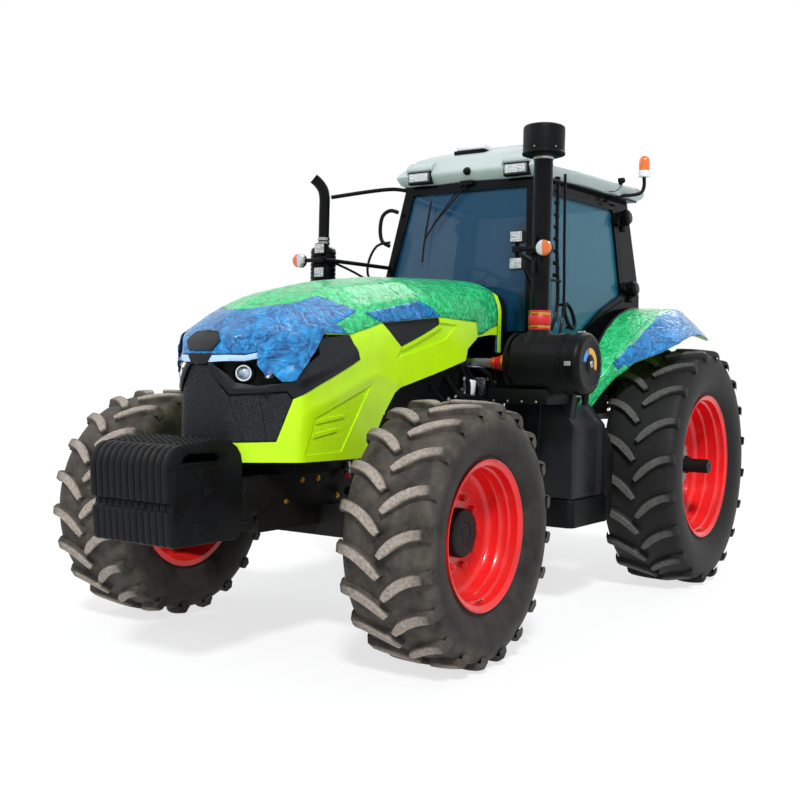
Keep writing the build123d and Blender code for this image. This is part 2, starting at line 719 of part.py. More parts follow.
def cab_roof():
    """The moulded roof, narrower ahead and bevelled along its sides."""
    front_x = rear(ROOF_OUTLINE[1][0])
    back_x = rear(ROOF_OUTLINE[6][0])
    body = side_prism([(rear(x), z) for x, z in ROOF_OUTLINE], -900, 900)
    for side in (1, -1):
        for inward, height, slope in ROOF_SIDES:
            front = (front_x, side * (ROOF_FRONT_HALF - inward))
            back = (back_x, side * (ROOF_REAR_HALF - inward))
            body -= outside_wall(front, back, height, slope)
    return body


COWL_FRONT = HOOD_BACK - 15
COWL_BACK = 1500.0


def cowl():
    """The fixed band between the hood and the cab."""
    half = [(450, 1740), (450, 2030), (415, 2145), (280, 2208), (0, 2232)]
    inner = [(y - 40 * (y > 0), z - 40) for y, z in half]
    other = [(-y, z) for y, z in half[-2::-1]]
    inner_other = [(-y, z) for y, z in inner[-2::-1]]
    ring = end_prism(half + other, rear(COWL_BACK), rear(COWL_FRONT))
    ring -= end_prism(inner + inner_other, rear(COWL_BACK + 30), rear(COWL_FRONT) + 1)
    x, z = HOOD_HINGE
    reach = HOOD_EYE_HALF + 18
    for y in (HOOD_HINGE_Y, -HOOD_HINGE_Y):
        ring += block(x - 42, x + 8, y - reach, y + reach, z - 16, z + 8)
        ring -= block(x - 28, x + 20, y - HOOD_EYE_HALF - 4, y + HOOD_EYE_HALF + 4, z - 60, z + 60)
        ring += eye(HOOD_HINGE, HOOD_PIN_R, y, 2 * reach)
    return ring


# ---------------------------------------------------------------- fenders, tanks and steps
FENDER_WALL = 14.0
FENDER_IN = 824.0
# sections about the rear axle, from the front: angle above the forward line, radius
# of the inner edge, y and radius of the crease, y and radius of the outer lip
FENDER_SECTIONS = [
    (22, 1205, 868, 1192, 872, 1120),
    (30, 1208, 918, 1195, 930, 1110),
    (38, 1210, 985, 1195, 1000, 1100),
    (46, 1212, 1062, 1196, 1110, 1092),
    (53, 1216, 1112, 1200, 1270, 1080),
    (62, 1220, 1140, 1207, 1335, 1058),
    (75, 1225, 1160, 1216, 1352, 1036),
    (90, 1224, 1160, 1212, 1352, 1016),
    (100, 1215, 1150, 1185, 1345, 1000),
    (112, 1195, 1000, 1190, 1090, 1140),
]
FENDER_BASE = 1480.0          # low edge of the inner wall
FENDER_FLANGE = (0.0, 190.0)  # reach of the flange on the cab wall, ahead of the axle


def about_rear_axle(angle, radius):
    """The (x, z) place at an angle above the forward line."""
    turn = math.radians(angle)
    return (REAR_AXLE_X + radius * math.cos(turn), REAR_Z + radius * math.sin(turn))


def fender():
    """The left fender: a creased skin over the tyre and an inner wall."""
    faces = []
    for angle, inner_r, crease_y, crease_r, lip_y, lip_r in FENDER_SECTIONS:
        outline = [
            (FENDER_IN, inner_r),
            (crease_y, crease_r),
            (lip_y, lip_r),
            (lip_y - FENDER_WALL, lip_r),
            (crease_y - FENDER_WALL, crease_r - FENDER_WALL),
            (FENDER_IN, inner_r - FENDER_WALL),
        ]
        corners = []
        for y, radius in outline:
            x, z = about_rear_axle(angle, radius)
            corners.append((x, y, z))
        faces.append(make_face(Polyline(*corners, close=True)))
    skin = loft(faces, ruled=True)
    edge = [about_rear_axle(row[0], row[1] - FENDER_WALL / 2) for row in FENDER_SECTIONS]
    wall = side_prism(edge, FENDER_IN, FENDER_IN + FENDER_WALL)
    wall -= block(rear(-1300), rear(1300), 0, 1500, 0, FENDER_BASE)
    flange = block(rear(FENDER_FLANGE[0]), rear(FENDER_FLANGE[1]), 700, FENDER_IN, 1750, 2050) - cab_solid(0)
    return skin.fuse(wall, flange)


TANK_FRONT = 1670.0
TANK_BACK = 1130.0
TANK_IN = 515.0
TANK_OUT = 1050.0
TANK_TOP = 1395.0
TANK_BOTTOM = 750.0
GUARD_BOTTOM = 560.0


def tank():
    """The left tank with a bevelled outer shoulder."""
    outline = [
        (TANK_IN, TANK_BOTTOM),
        (TANK_OUT, TANK_BOTTOM),
        (TANK_OUT, 1250),
        (925, TANK_TOP),
        (TANK_IN, TANK_TOP),
    ]
    body = end_prism(outline, rear(TANK_BACK), rear(TANK_FRONT))
    body += block(rear(TANK_BACK), rear(TANK_FRONT) + 12, TANK_IN, TANK_OUT + 12, GUARD_BOTTOM, TANK_BOTTOM)
    return body


def mounting_brackets():
    """The beams that carry the tanks and the blocks that carry the cab."""
    left = []
    for distance in (1220, 1520):
        left.append(block(rear(distance), rear(distance + 70), HULL_HALF, TANK_IN, 900, 980))
    left.append(block(rear(1380), rear(1480), HULL_HALF - 90, HULL_HALF, HULL_TOP, CAB_FLOOR))
    left.append(block(rear(340), rear(REAR_CASE_FRONT), HULL_HALF - 40, HULL_HALF + 40, REAR_CASE_TOP, CAB_FLOOR))
    return left + [mirrored(bar) for bar in left]


STEP_TREADS = (1190.0, 900.0, 610.0)


def steps():
    """The ladder behind the left tank: two cheeks and three treads."""
    back = rear(TANK_BACK)
    ladder = block(back - 12, back, 620, 1060, 560, 1350)
    for height in STEP_TREADS:
        ladder += block(back - 130, back - 12, 640, 1060, height, height + 30)
    return ladder


# ---------------------------------------------------------------- intake and exhaust
CAN_X = 1850.0
CAN_Z = 1665.0
CAN_R = 200.0
CAN_IN = 660.0
CAN_OUT = 1180.0
CAN_CAP_R = 208.0
CAN_CAP_OUT = 1240.0
STACK_X = 1870.0
STACK_Y = 875.0
STACK_R = 64.0
COUPLING_R = 72.0
COUPLING_BOTTOM = 1885.0
COUPLING_TOP = 2015.0
STACK_TOP = 3035.0
PRECLEANER_R = 142.0
PRECLEANER_TOP = 3230.0
INTAKE_PIPE_R = 33.0
BRACKET_TOP = CAN_Z - CAN_R + 30


def air_cleaner():
    """The canister lying across the tractor, with its cap and the spout on top."""
    can = cross_bar(rear(CAN_X), CAN_Z, CAN_R, CAN_IN, CAN_OUT)
    can += cross_bar(rear(CAN_X), CAN_Z, CAN_CAP_R, CAN_OUT, CAN_CAP_OUT)
    can += upright(rear(STACK_X), STACK_Y, STACK_R, CAN_Z, COUPLING_BOTTOM)
    can += cross_bar(rear(CAN_X), CAN_Z, 60, CAN_IN - 40, CAN_IN)
    return can


def cleaner_bracket():
    """The black cradle under the canister, carried by the tank's inner wall."""
    x0 = rear(TANK_FRONT)
    cradle = block(x0 - 60, rear(CAN_X) + 140, 560, 1000, TANK_TOP, BRACKET_TOP)
    cradle -= cross_bar(rear(CAN_X), CAN_Z, CAN_R, 500, 1100)
    return cradle


def intake_stack():
    """The tall intake pipe with its pre-cleaner bowl."""
    pipe = upright(rear(STACK_X), STACK_Y, STACK_R, COUPLING_TOP, STACK_TOP)
    pipe += upright(rear(STACK_X), STACK_Y, PRECLEANER_R, STACK_TOP, PRECLEANER_TOP)
    return pipe


def stack_coupling():
    return upright(rear(STACK_X), STACK_Y, COUPLING_R, COUPLING_BOTTOM, COUPLING_TOP)


def intake_pipe():
    """The pipe from the engine to the canister, with its coupling."""
    pipe = cross_bar(rear(CAN_X), CAN_Z, INTAKE_PIPE_R, ENGINE_HALF, CAN_IN - 120)
    return pipe + cross_bar(rear(CAN_X), CAN_Z, 52, CAN_IN - 120, CAN_IN - 40)


MUFFLER_X = 1925.0
MUFFLER_Y = -900.0
MUFFLER_R = 95.0
MUFFLER_BOTTOM = 1700.0
MUFFLER_TOP = 2515.0
TAILPIPE_R = 40.0


def exhaust():
    """The upright muffler on the right, its feed pipe and its bent tailpipe."""
    x = rear(MUFFLER_X)
    silencer = upright(x, MUFFLER_Y, MUFFLER_R, MUFFLER_BOTTOM, MUFFLER_TOP)
    tail = bent_tube([(x, MUFFLER_Y, MUFFLER_TOP), (x, MUFFLER_Y, 2930), (x + 60, MUFFLER_Y - 60, 3020)],
                     TAILPIPE_R, 60)
    feed = bent_tube([(x, MUFFLER_Y, MUFFLER_BOTTOM), (x, MUFFLER_Y, 1560), (x, -ENGINE_HALF, 1560)],
                     TAILPIPE_R, 90)
    return silencer.fuse(tail, feed)


# ---------------------------------------------------------------- lamps and small outside pieces
LAMP_BAR = (2070.0, 2400.0)   # end of the bar ahead of the rear axle, and its height
LAMP_BAR_START = (1444.0, 610.0, 2390.0)
LAMP_BAR_R = 16.0
LAMP_POST = (800.0, 12.0, 2340.0, 2440.0)       # y, radius, bottom and top
LAMP_DEPTH = 50.0
UPPER_LAMP = (750.0, 850.0, 2440.0, 2520.0)     # y and height, each from and to
LOWER_LAMP = (760.0, 860.0, 2265.0, 2345.0)
SIGNAL_Y = 1000.0
SIGNAL_R = 52.0
SIGNAL_DEPTH = 60.0


def lamp_bracket():
    """The left lamp bar from the cab pillar, with two work lamps and a signal lamp."""
    x = rear(LAMP_BAR[0])
    z = LAMP_BAR[1]
    start = LAMP_BAR_START
    post_y, post_r, post_low, post_high = LAMP_POST
    bar = rod((rear(start[0]), start[1], start[2]), (x, post_y - 10, z), LAMP_BAR_R) - cab_solid(0)
    bar += rod((x, post_y - 10, z), (x, SIGNAL_Y - 40, z), LAMP_BAR_R)
    bar += upright(x, post_y, post_r, post_low, post_high)
    for low_y, high_y, bottom, top in (UPPER_LAMP, LOWER_LAMP):
        bar += block(x - 15, x - 15 + LAMP_DEPTH, low_y, high_y, bottom, top)
    bar += rod((x - 20, SIGNAL_Y, z), (x - 20 + SIGNAL_DEPTH, SIGNAL_Y, z), SIGNAL_R)
    return bar


BEACON = (140.0, 900.0)       # ahead of the rear axle, y
BEACON_R = 45.0
BEACON_BOTTOM = 3180.0
BEACON_TOP = 3350.0
STALK_ROOT = (230.0, 740.0)
STALK_Z = 3060.0
STALK_R = 14.0
ROOF_LAMP_Y = 413.0
ROOF_LAMP_HALF = 90.0
ROOF_LAMP_FRONT = 1405.0
ROOF_LAMP_BOTTOM = 3040.0
ROOF_LAMP_TOP = 3130.0


def beacon():
    """The flashing beacon on its bent stalk."""
    x, y = rear(BEACON[0]), BEACON[1]
    route = [(rear(STALK_ROOT[0]), STALK_ROOT[1], STALK_Z), (x, y, STALK_Z), (x, y, BEACON_BOTTOM)]
    lamp = upright(x, y, BEACON_R, BEACON_BOTTOM, BEACON_TOP)
    return bent_tube(route, STALK_R, 40).fuse(lamp) - cab_roof()


def roof_lamps():
    """Two work lamps under the front edge of the roof."""
    x = rear(ROOF_LAMP_FRONT)
    lamps = []
    for side in (1, -1):
        y = side * ROOF_LAMP_Y
        lamp = block(x - 95, x, y - ROOF_LAMP_HALF, y + ROOF_LAMP_HALF, ROOF_LAMP_BOTTOM, ROOF_LAMP_TOP)
        lamps.append(lamp - cab_roof())
    return lamps


def seat():
    """The driver's seat on its box."""
    base = block(rear(420), rear(720), -160, 160, CAB_FLOOR + CAB_FLOOR_THICK, 1760)
    cushion = block(rear(380), rear(860), -250, 250, 1760, 1880)
    back = side_prism([(rear(400), 1880), (rear(500), 1880), (rear(430), 2560), (rear(330), 2560)], -240, 240)
    return base.fuse(cushion, back)


def console():
    """The steering column, its wheel and the dash behind the windscreen."""
    floor = CAB_FLOOR + CAB_FLOOR_THICK
    dash = block(rear(1200), rear(1440), -200, 200, floor, 2130)
    column = rod((rear(1230), 0, 2100), (rear(1130), 0, 2290), 35)
    centre = Plane(origin=(rear(1130), 0, 2290), z_dir=(-100, 0, 190))
    wheel = centre * Torus(190, 15)
    spokes = centre * Box(380, 40, 12)
    return dash.fuse(column, wheel, spokes)


# ---------------------------------------------------------------- rear linkage
LINK_PIVOT = (rear(-60), 600.0)
LINK_ROOT_Y = 330.0
LINK_END_Y = 460.0
LINK_EYE_R = 48.0
LINK_END = (rear(LINK_EYE_R - REAR_REACH), 560.0)
LINK_BORE_R = 18.4
LINK_PIN_R = 20.0
LINK_THICK = 30.0
LINK_DEPTH = 70.0
ROD_ON_LINK = 0.50            # share of the link's length from its pivot
ARM_PIVOT = (rear(-180), 1270.0)
ARM_END = (rear(-500), 1270.0)
ARM_Y = 385.0
ARM_THICK = 30.0
ROCKSHAFT_R = 40.0
ARM_PIN_R = 12.0
ROD_Y = 432.0
ROD_THICK = 20.0
ROD_DRIFT = 14.0              # play of the rod's lower eye about its pin
PTO_R = 17.46
PTO_JOURNAL_R = 24.0
PTO_Z = 760.0
PTO_DEPTH = 60.0
PTO_OUT = 130.0
DRAWBAR_BACK = -900.0
DRAWBAR_FRONT = -100.0
DRAWBAR_HALF = 45.0
DRAWBAR_TOP = 510.0
DRAWBAR_THICK = 40.0
DRAWBAR_HOLE_R = 16.5
TOP_LINK_R = 22.0
TOP_LINK_BORE_R = 15.9
TOP_LINK_END = (rear(-960), 1040.0)
TOP_LINK_ROOT = (rear(REAR_CASE_BACK - 60), 1080.0)


def flat_link(start, end, y_start, y_end, width, thick):
    """A flat bar between two eyes whose axes run across the tractor."""
    p = Vector(start[0], y_start, start[1])
    q = Vector(end[0], y_end, end[1])
    run = q - p
    plane = Plane(origin=p, x_dir=run, z_dir=run.cross(Vector(0, 1, 0)).cross(run))
    return plane * Box(run.length, width, thick, align=(Align.MIN, Align.CENTER, Align.CENTER))


def between(start, end, share):
    return tuple(a + (b - a) * share for a, b in zip(start, end))


def lower_link():
    """The left lower link with an eye at each end and the lift rod's pin."""
    bar = flat_link(LINK_PIVOT, LINK_END, LINK_ROOT_Y, LINK_END_Y, LINK_DEPTH, LINK_THICK)
    bar += eye(LINK_PIVOT, LINK_EYE_R, LINK_ROOT_Y, LINK_THICK + 10)
    bar += eye(LINK_END, LINK_EYE_R, LINK_END_Y, LINK_THICK + 10)
    bar -= eye(LINK_END, LINK_BORE_R, LINK_END_Y, 200)
    bar -= eye(LINK_PIVOT, LINK_PIN_R + RUNNING_GAP, LINK_ROOT_Y, 200)
    pin = between(LINK_PIVOT, LINK_END, ROD_ON_LINK)
    middle_y = LINK_ROOT_Y + (LINK_END_Y - LINK_ROOT_Y) * ROD_ON_LINK
    return bar + cross_bar(*pin, ARM_PIN_R, middle_y, ROD_Y + ROD_THICK / 2 + 5)


def lift_arms():
    """The rockshaft with its two lift arms and their pins."""
    arms = cross_bar(*ARM_PIVOT, ROCKSHAFT_R, -ARM_Y, ARM_Y)
    for side in (1, -1):
        arms += flat_link(ARM_PIVOT, ARM_END, side * ARM_Y, side * ARM_Y, 70, ARM_THICK)
        arms += eye(ARM_PIVOT, 62, side * ARM_Y, ARM_THICK)
        arms += eye(ARM_END, 38, side * ARM_Y, ARM_THICK)
        arms += cross_bar(*ARM_END, ARM_PIN_R, side * ARM_Y, side * (ROD_Y + ROD_THICK / 2 + 5))
    return arms


def lift_rod():
    """The left lift rod, whose lower eye has play about its pin."""
    low = between(LINK_PIVOT, LINK_END, ROD_ON_LINK)
    bar = rod((ARM_END[0], ROD_Y, ARM_END[1]), (low[0], ROD_Y, low[1]), ROD_THICK / 2 - 0.5)
    bar += eye(ARM_END, 34, ROD_Y, ROD_THICK)
    bar += eye(low, ARM_PIN_R + ROD_DRIFT + 20, ROD_Y, ROD_THICK)
    bar -= eye(ARM_END, ARM_PIN_R + RUNNING_GAP, ROD_Y, 2 * ROD_THICK)
    return bar - eye(low, ARM_PIN_R + ROD_DRIFT, ROD_Y, 2 * ROD_THICK)


def top_link():
    """The top link on its bracket behind the axle case."""
    bracket = block(rear(REAR_CASE_BACK) - 95, rear(REAR_CASE_BACK), -45, 45, 1040, 1120)
    bar = rod((TOP_LINK_ROOT[0], 0, TOP_LINK_ROOT[1]), (TOP_LINK_END[0], 0, TOP_LINK_END[1]), TOP_LINK_R)
    bar += eye(TOP_LINK_END, 38, 0, 44)
    return (bracket + bar) - eye(TOP_LINK_END, TOP_LINK_BORE_R, 0, 100)


def drawbar():
    """The drawbar and the hanger that holds it under the axle case."""
    low = DRAWBAR_TOP - DRAWBAR_THICK
    bar = block(rear(DRAWBAR_BACK), rear(DRAWBAR_FRONT), -DRAWBAR_HALF, DRAWBAR_HALF, low, DRAWBAR_TOP)
    bar += block(rear(-340), rear(DRAWBAR_FRONT), -DRAWBAR_HALF - 40, DRAWBAR_HALF + 40,
                 DRAWBAR_TOP, REAR_CASE_BOTTOM)
    hole = upright(rear(DRAWBAR_BACK + DRAWBAR_HALF), 0, DRAWBAR_HOLE_R, low, DRAWBAR_TOP)
    return bar - hole


def pto_shaft():
    """The rear power take-off stub."""
    back = rear(REAR_CASE_BACK)
    shaft = rod((back - PTO_OUT, 0, PTO_Z), (back, 0, PTO_Z), PTO_R)
    return shaft + rod((back, 0, PTO_Z), (back + PTO_DEPTH, 0, PTO_Z), PTO_JOURNAL_R)


pieces = {
    "front_axle": front_axle(),
    "front_frame": front_frame(),
    "transmission": transmission(),
    "engine": engine(),
    "cooler": cooler(),
    "lift_arms": lift_arms(),
    "top_link": top_link(),
    "drawbar": drawbar(),
    "pto_shaft": pto_shaft(),
    "cowl": cowl(),
    "cab_roof": cab_roof(),
    "weight_carrier": weight_carrier(),
}
for name, shape in pieces.items():
    write(name, shape)
write("front_weights", Compound(ballast()))
write("mounting_brackets", Compound(mounting_brackets()))
for name, shape in hood_pieces().items():
    write(name, shape)
cab = cab_pieces()
for name in ("cab_frame", "cab_glass"):
    write(name, cab[name])
for name in ("door", "door_glass"):
    write_pair(name, cab[name])
write_pair("knuckle", knuckle())
write("axle_housings", Compound([axle_housing(), mirrored(axle_housing())]))
write_pair("front_tyre", Pos(*FRONT_WHEEL) * tyre(FRONT_TYRE_R, FRONT_TYRE_HALF, FRONT_SEAT_R, FRONT_FLANGE_OUT))
write_pair("rear_tyre", Pos(*REAR_WHEEL) * tyre(REAR_TYRE_R, REAR_TYRE_HALF, REAR_SEAT_R, REAR_FLANGE_OUT))
write_pair("front_rim", Pos(*FRONT_WHEEL) * rim(FRONT_SEAT_R, FRONT_FLANGE_OUT, FRONT_DISC_Y, FRONT_CAP_R))
write_pair("rear_rim", Pos(*REAR_WHEEL) * rim(REAR_SEAT_R, REAR_FLANGE_OUT, REAR_DISC_Y, REAR_HUB_CORE_R))
write_pair("front_hub", Pos(*FRONT_WHEEL) * front_hub())
write_pair("rear_hub", Pos(*REAR_WHEEL) * rear_hub())
write_pair("fender", fender())
write_pair("tank", tank())
write("air_cleaner", air_cleaner())
write("cleaner_bracket", cleaner_bracket())
write("intake_stack", intake_stack())
write("stack_coupling", stack_coupling())
write("intake_pipe", intake_pipe())
write("exhaust", exhaust())
write_pair("lamp_bracket", lamp_bracket())
write("beacon", beacon())
write("roof_lamps", Compound(roof_lamps()))
write("seat", seat())
write("console", console())
write("steps", steps())
write_pair("lower_link", lower_link())
write_pair("lift_rod", lift_rod())
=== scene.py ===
"""Farm tractor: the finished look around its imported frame."""
import math

import bmesh
import bpy
import numpy as np
from bpy.props import FloatProperty, FloatVectorProperty, IntProperty, PointerProperty
from mathutils import Matrix, Vector, noise


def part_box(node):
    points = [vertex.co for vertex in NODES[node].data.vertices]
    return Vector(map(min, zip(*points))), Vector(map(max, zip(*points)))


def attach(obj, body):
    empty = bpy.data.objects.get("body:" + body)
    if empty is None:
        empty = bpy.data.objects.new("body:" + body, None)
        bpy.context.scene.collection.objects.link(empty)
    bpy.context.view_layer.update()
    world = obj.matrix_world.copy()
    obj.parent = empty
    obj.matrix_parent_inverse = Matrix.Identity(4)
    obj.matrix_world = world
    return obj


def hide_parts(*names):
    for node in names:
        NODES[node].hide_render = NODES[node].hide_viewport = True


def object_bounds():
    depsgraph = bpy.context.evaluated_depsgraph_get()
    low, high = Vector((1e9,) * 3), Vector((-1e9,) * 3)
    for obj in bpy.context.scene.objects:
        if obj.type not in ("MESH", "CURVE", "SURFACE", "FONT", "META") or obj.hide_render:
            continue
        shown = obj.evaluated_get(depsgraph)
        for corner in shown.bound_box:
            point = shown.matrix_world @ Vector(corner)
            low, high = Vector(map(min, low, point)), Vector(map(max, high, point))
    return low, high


bl_info = {
    "name": "Farm Tractor",
    "version": (1, 0, 0),
    "blender": (4, 5, 0),
    "location": "3D View > Sidebar > Tractor",
    "description": "Builds the pieces and finishes of a farm tractor around its frame",
    "category": "Object",
}

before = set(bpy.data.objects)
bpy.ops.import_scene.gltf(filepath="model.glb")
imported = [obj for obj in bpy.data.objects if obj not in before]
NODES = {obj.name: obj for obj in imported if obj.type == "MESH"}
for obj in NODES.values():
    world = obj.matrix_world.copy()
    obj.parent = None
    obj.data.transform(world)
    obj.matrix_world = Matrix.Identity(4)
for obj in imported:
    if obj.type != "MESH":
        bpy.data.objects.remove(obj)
CAD_BOX = [list(corner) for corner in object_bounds()]
MM = 0.001


def middle_of(node):
    low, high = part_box(node)
    return (low + high) / 2


FRONT_AXLE = Vector((middle_of("front_rim_left").x, 0, middle_of("front_rim_left").z))
REAR_AXLE = Vector((middle_of("rear_rim_left").x, 0, middle_of("rear_rim_left").z))

UP, LEFT, AHEAD, BACK = (0, 0, 1), (0, 1, 0), (1, 0, 0), (-1, 0, 0)


def rear(mm):
    """X of a place this far ahead of the rear axle."""
    return REAR_AXLE.x + mm * MM


def at(x_mm, y_mm, z_mm):
    """A place ahead of the rear axle, left of the middle and above the ground, in millimetres."""
    return Vector((rear(x_mm), y_mm * MM, z_mm * MM))


# ---------------------------------------------------------------- colours and nodes


def linear(colour):
    """An sRGB hex colour as linear values."""
    values = []
    for start in (1, 3, 5):
        c = int(colour[start:start + 2], 16) / 255
        values.append(c / 12.92 if c <= 0.04045 else ((c + 0.055) / 1.055) ** 2.4)
    return tuple(values)


def add(tree, kind, inputs=None, **settings):
    """A node with its settings; an input is a value, a socket or a node, whose first output is linked."""
    node = tree.nodes.new(kind)
    for name, value in settings.items():
        setattr(node, name, value)
    for name, value in (inputs or {}).items():
        if isinstance(value, bpy.types.Node):
            value = value.outputs[0]
        if isinstance(value, bpy.types.NodeSocket):
            tree.links.new(value, node.inputs[name])
        else:
            node.inputs[name].default_value = value
    return node


def rgba(colour):
    values = linear(colour) if isinstance(colour, str) else tuple(colour)
    return (*values[:3], 1.0)


def blank_material(name):
    material = bpy.data.materials.new(name)
    material.use_nodes = True
    tree = material.node_tree
    tree.nodes.clear()
    coordinates = add(tree, "ShaderNodeTexCoord")
    output = add(tree, "ShaderNodeOutputMaterial")
    return material, tree, coordinates.outputs["Object"], output


def ramp(tree, fac, stops):
    node = add(tree, "ShaderNodeValToRGB", {"Fac": fac})
    elements = node.color_ramp.elements
    while len(elements) < len(stops):
        elements.new(0.5)
    for element, (place, colour) in zip(elements, stops):
        element.position = place
        element.color = rgba(colour)
    return node.outputs["Color"]


def coated(name, colour, shade, grain_mm=40.0, roughness=(0.3, 0.42), metallic=0.0, coat=0.0,
           bump_mm=0.0, bump_grain_mm=2.0, dust=None, dust_amount=0.0, round_mm=0.0, sheen=0.5):
    """A solid finish: two close tones in soft patches, uneven gloss, grain and dust from below."""
    material, tree, where, output = blank_material(name)
    patches = add(tree, "ShaderNodeTexNoise", {"Vector": where, "Scale": 1000 / grain_mm / 6, "Detail": 6.0})
    tone = ramp(tree, patches, [(0.38, colour), (0.66, shade)])
    rough = add(tree, "ShaderNodeMapRange", {"Value": patches, "From Min": 0.3, "From Max": 0.7,
                                            "To Min": roughness[0], "To Max": roughness[1]})
    base = tone
    if dust:
        split = add(tree, "ShaderNodeSeparateXYZ", {"Vector": where})
        fall = add(tree, "ShaderNodeMapRange",
                   {"Value": split.outputs["Z"], "From Min": 1.5, "From Max": 0.2})
        specks = add(tree, "ShaderNodeTexNoise",
                     {"Vector": where, "Scale": 22.0, "Detail": 9.0, "Roughness": 0.7})
        amount = add(tree, "ShaderNodeMath", {0: fall, 1: specks}, operation="MULTIPLY")
        amount = add(tree, "ShaderNodeMath", {0: amount, 1: dust_amount}, operation="MULTIPLY")
        mix = add(tree, "ShaderNodeMix", {"Factor": amount, "A": tone, "B": rgba(dust)}, data_type="RGBA")
        base = mix.outputs["Result"]
    shader = add(tree, "ShaderNodeBsdfPrincipled",
                 {"Base Color": base, "Roughness": rough, "Metallic": metallic, "Coat Weight": coat,
                  "Coat Roughness": 0.06, "Specular IOR Level": sheen})
    normal = None
    if round_mm:
        normal = add(tree, "ShaderNodeBevel", {"Radius": round_mm * MM}, samples=4).outputs["Normal"]
    if bump_mm:
        grain = add(tree, "ShaderNodeTexNoise",
                    {"Vector": where, "Scale": 1000 / bump_grain_mm, "Detail": 4.0})
        bump = add(tree, "ShaderNodeBump", {"Height": grain, "Distance": bump_mm * MM, "Strength": 0.6})
        if normal:
            tree.links.new(normal, bump.inputs["Normal"])
        normal = bump.outputs["Normal"]
    if normal:
        tree.links.new(normal, shader.inputs["Normal"])
    tree.links.new(shader.outputs["BSDF"], output.inputs["Surface"])
    return material


# ---------------------------------------------------------------- mesh helpers


def mesh_object(name, verts, faces, finish, smooth_angle=35.0):
    """A linked object from plain lists, with outward normals, sharp where faces turn past an angle."""
    mesh = bpy.data.meshes.new(name)
    mesh.from_pydata([tuple(v) for v in verts], [], [tuple(f) for f in faces])
    mesh.materials.append(FINISH[finish])
    tidy_mesh(mesh, smooth_angle)
    obj = bpy.data.objects.new(name, mesh)
    bpy.context.scene.collection.objects.link(obj)
    return obj


def tidy_mesh(mesh, smooth_angle=35.0, outward=True):
    bm = bmesh.new()
    bm.from_mesh(mesh)
    bmesh.ops.remove_doubles(bm, verts=bm.verts, dist=1e-5)
    bmesh.ops.dissolve_degenerate(bm, edges=bm.edges, dist=1e-6)
    if outward:
        bmesh.ops.recalc_face_normals(bm, faces=bm.faces)
    bm.to_mesh(mesh)
    bm.free()
    mesh.polygons.foreach_set("use_smooth", [True] * len(mesh.polygons))
    mesh.set_sharp_from_angle(angle=math.radians(smooth_angle))
    mesh.update()


def apply_modifiers(obj, smooth_angle=35.0):
    """The object's evaluated mesh in place of its modifiers."""
    graph = bpy.context.evaluated_depsgraph_get()
    mesh = bpy.data.meshes.new_from_object(obj.evaluated_get(graph), depsgraph=graph)
    old = obj.data
    obj.modifiers.clear()
    obj.data = mesh
    mesh.name = obj.name
    if old.users == 0:
        bpy.data.meshes.remove(old)
    tidy_mesh(mesh, smooth_angle, outward=False)
    return obj


def modify(obj, kind, **settings):
    modifier = obj.modifiers.new(kind.title(), kind)
    for name, value in settings.items():
        setattr(modifier, name, value)
    return modifier


def thicken(obj, thickness_mm, bevel_mm=0.0, segments=2, smooth_angle=35.0):
    """A sheet given its thickness inward and rounded rims."""
    modify(obj, "SOLIDIFY", thickness=thickness_mm * MM, offset=-1.0, use_even_offset=False)
    if bevel_mm:
        modify(obj, "BEVEL", width=bevel_mm * MM, segments=segments, limit_method="ANGLE",
               angle_limit=math.radians(50))
    return apply_modifiers(obj, smooth_angle)


def rounded(obj, bevel_mm, segments=2, angle=30.0, smooth_angle=40.0):
    modify(obj, "BEVEL", width=bevel_mm * MM, segments=segments, limit_method="ANGLE",
           angle_limit=math.radians(angle))
    return apply_modifiers(obj, smooth_angle)


def cut_by(obj, tool, smooth_angle=35.0):
    """The object with another solid taken out of it."""
    modify(obj, "BOOLEAN", operation="DIFFERENCE", object=tool, solver="EXACT")
    apply_modifiers(obj, smooth_angle)
    bpy.data.objects.remove(tool)
    return obj


def joined(name, objects):
    """Several plain mesh objects as one."""
    bm = bmesh.new()
    materials = []
    for obj in objects:
        start = len(bm.faces)
        bm.from_mesh(obj.data)
        bm.faces.ensure_lookup_table()
        slots = []
        for material in obj.data.materials:
            if material not in materials:
                materials.append(material)
            slots.append(materials.index(material))
        for face in bm.faces[start:]:
            face.material_index = slots[face.material_index] if slots else 0
    mesh = bpy.data.meshes.new(name)
    bm.to_mesh(mesh)
    bm.free()
    for material in materials:
        mesh.materials.append(material)
    for obj in objects:
        data = obj.data
        bpy.data.objects.remove(obj)
        if data.users == 0:
            bpy.data.meshes.remove(data)
    obj = bpy.data.objects.new(name, mesh)
    bpy.context.scene.collection.objects.link(obj)
    return obj


def placed(obj, body, slot, *nodes):
    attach(obj, body)
    if nodes:
        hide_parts(*nodes)
    return obj


def mirrored_copy(obj, name):
    """The same piece on the tractor's other side."""
    bm = bmesh.new()
    bm.from_mesh(obj.data)
    for vert in bm.verts:
        vert.co.y = -vert.co.y
    bmesh.ops.reverse_faces(bm, faces=bm.faces)
    mesh = bpy.data.meshes.new(name)
    bm.to_mesh(mesh)
    bm.free()
    for material in obj.data.materials:
        mesh.materials.append(material)
    copy = bpy.data.objects.new(name, mesh)
    bpy.context.scene.collection.objects.link(copy)
    return copy


def both(name, build, body, slot, *nodes):
    """A piece built for the left side, and its mirror image on the right."""
    left = build(name + "_left")
    right = mirrored_copy(left, name + "_right")
    for obj, side in ((left, "left"), (right, "right")):
        placed(obj, body.replace("SIDE", side), slot, *[node.replace("SIDE", side) for node in nodes])


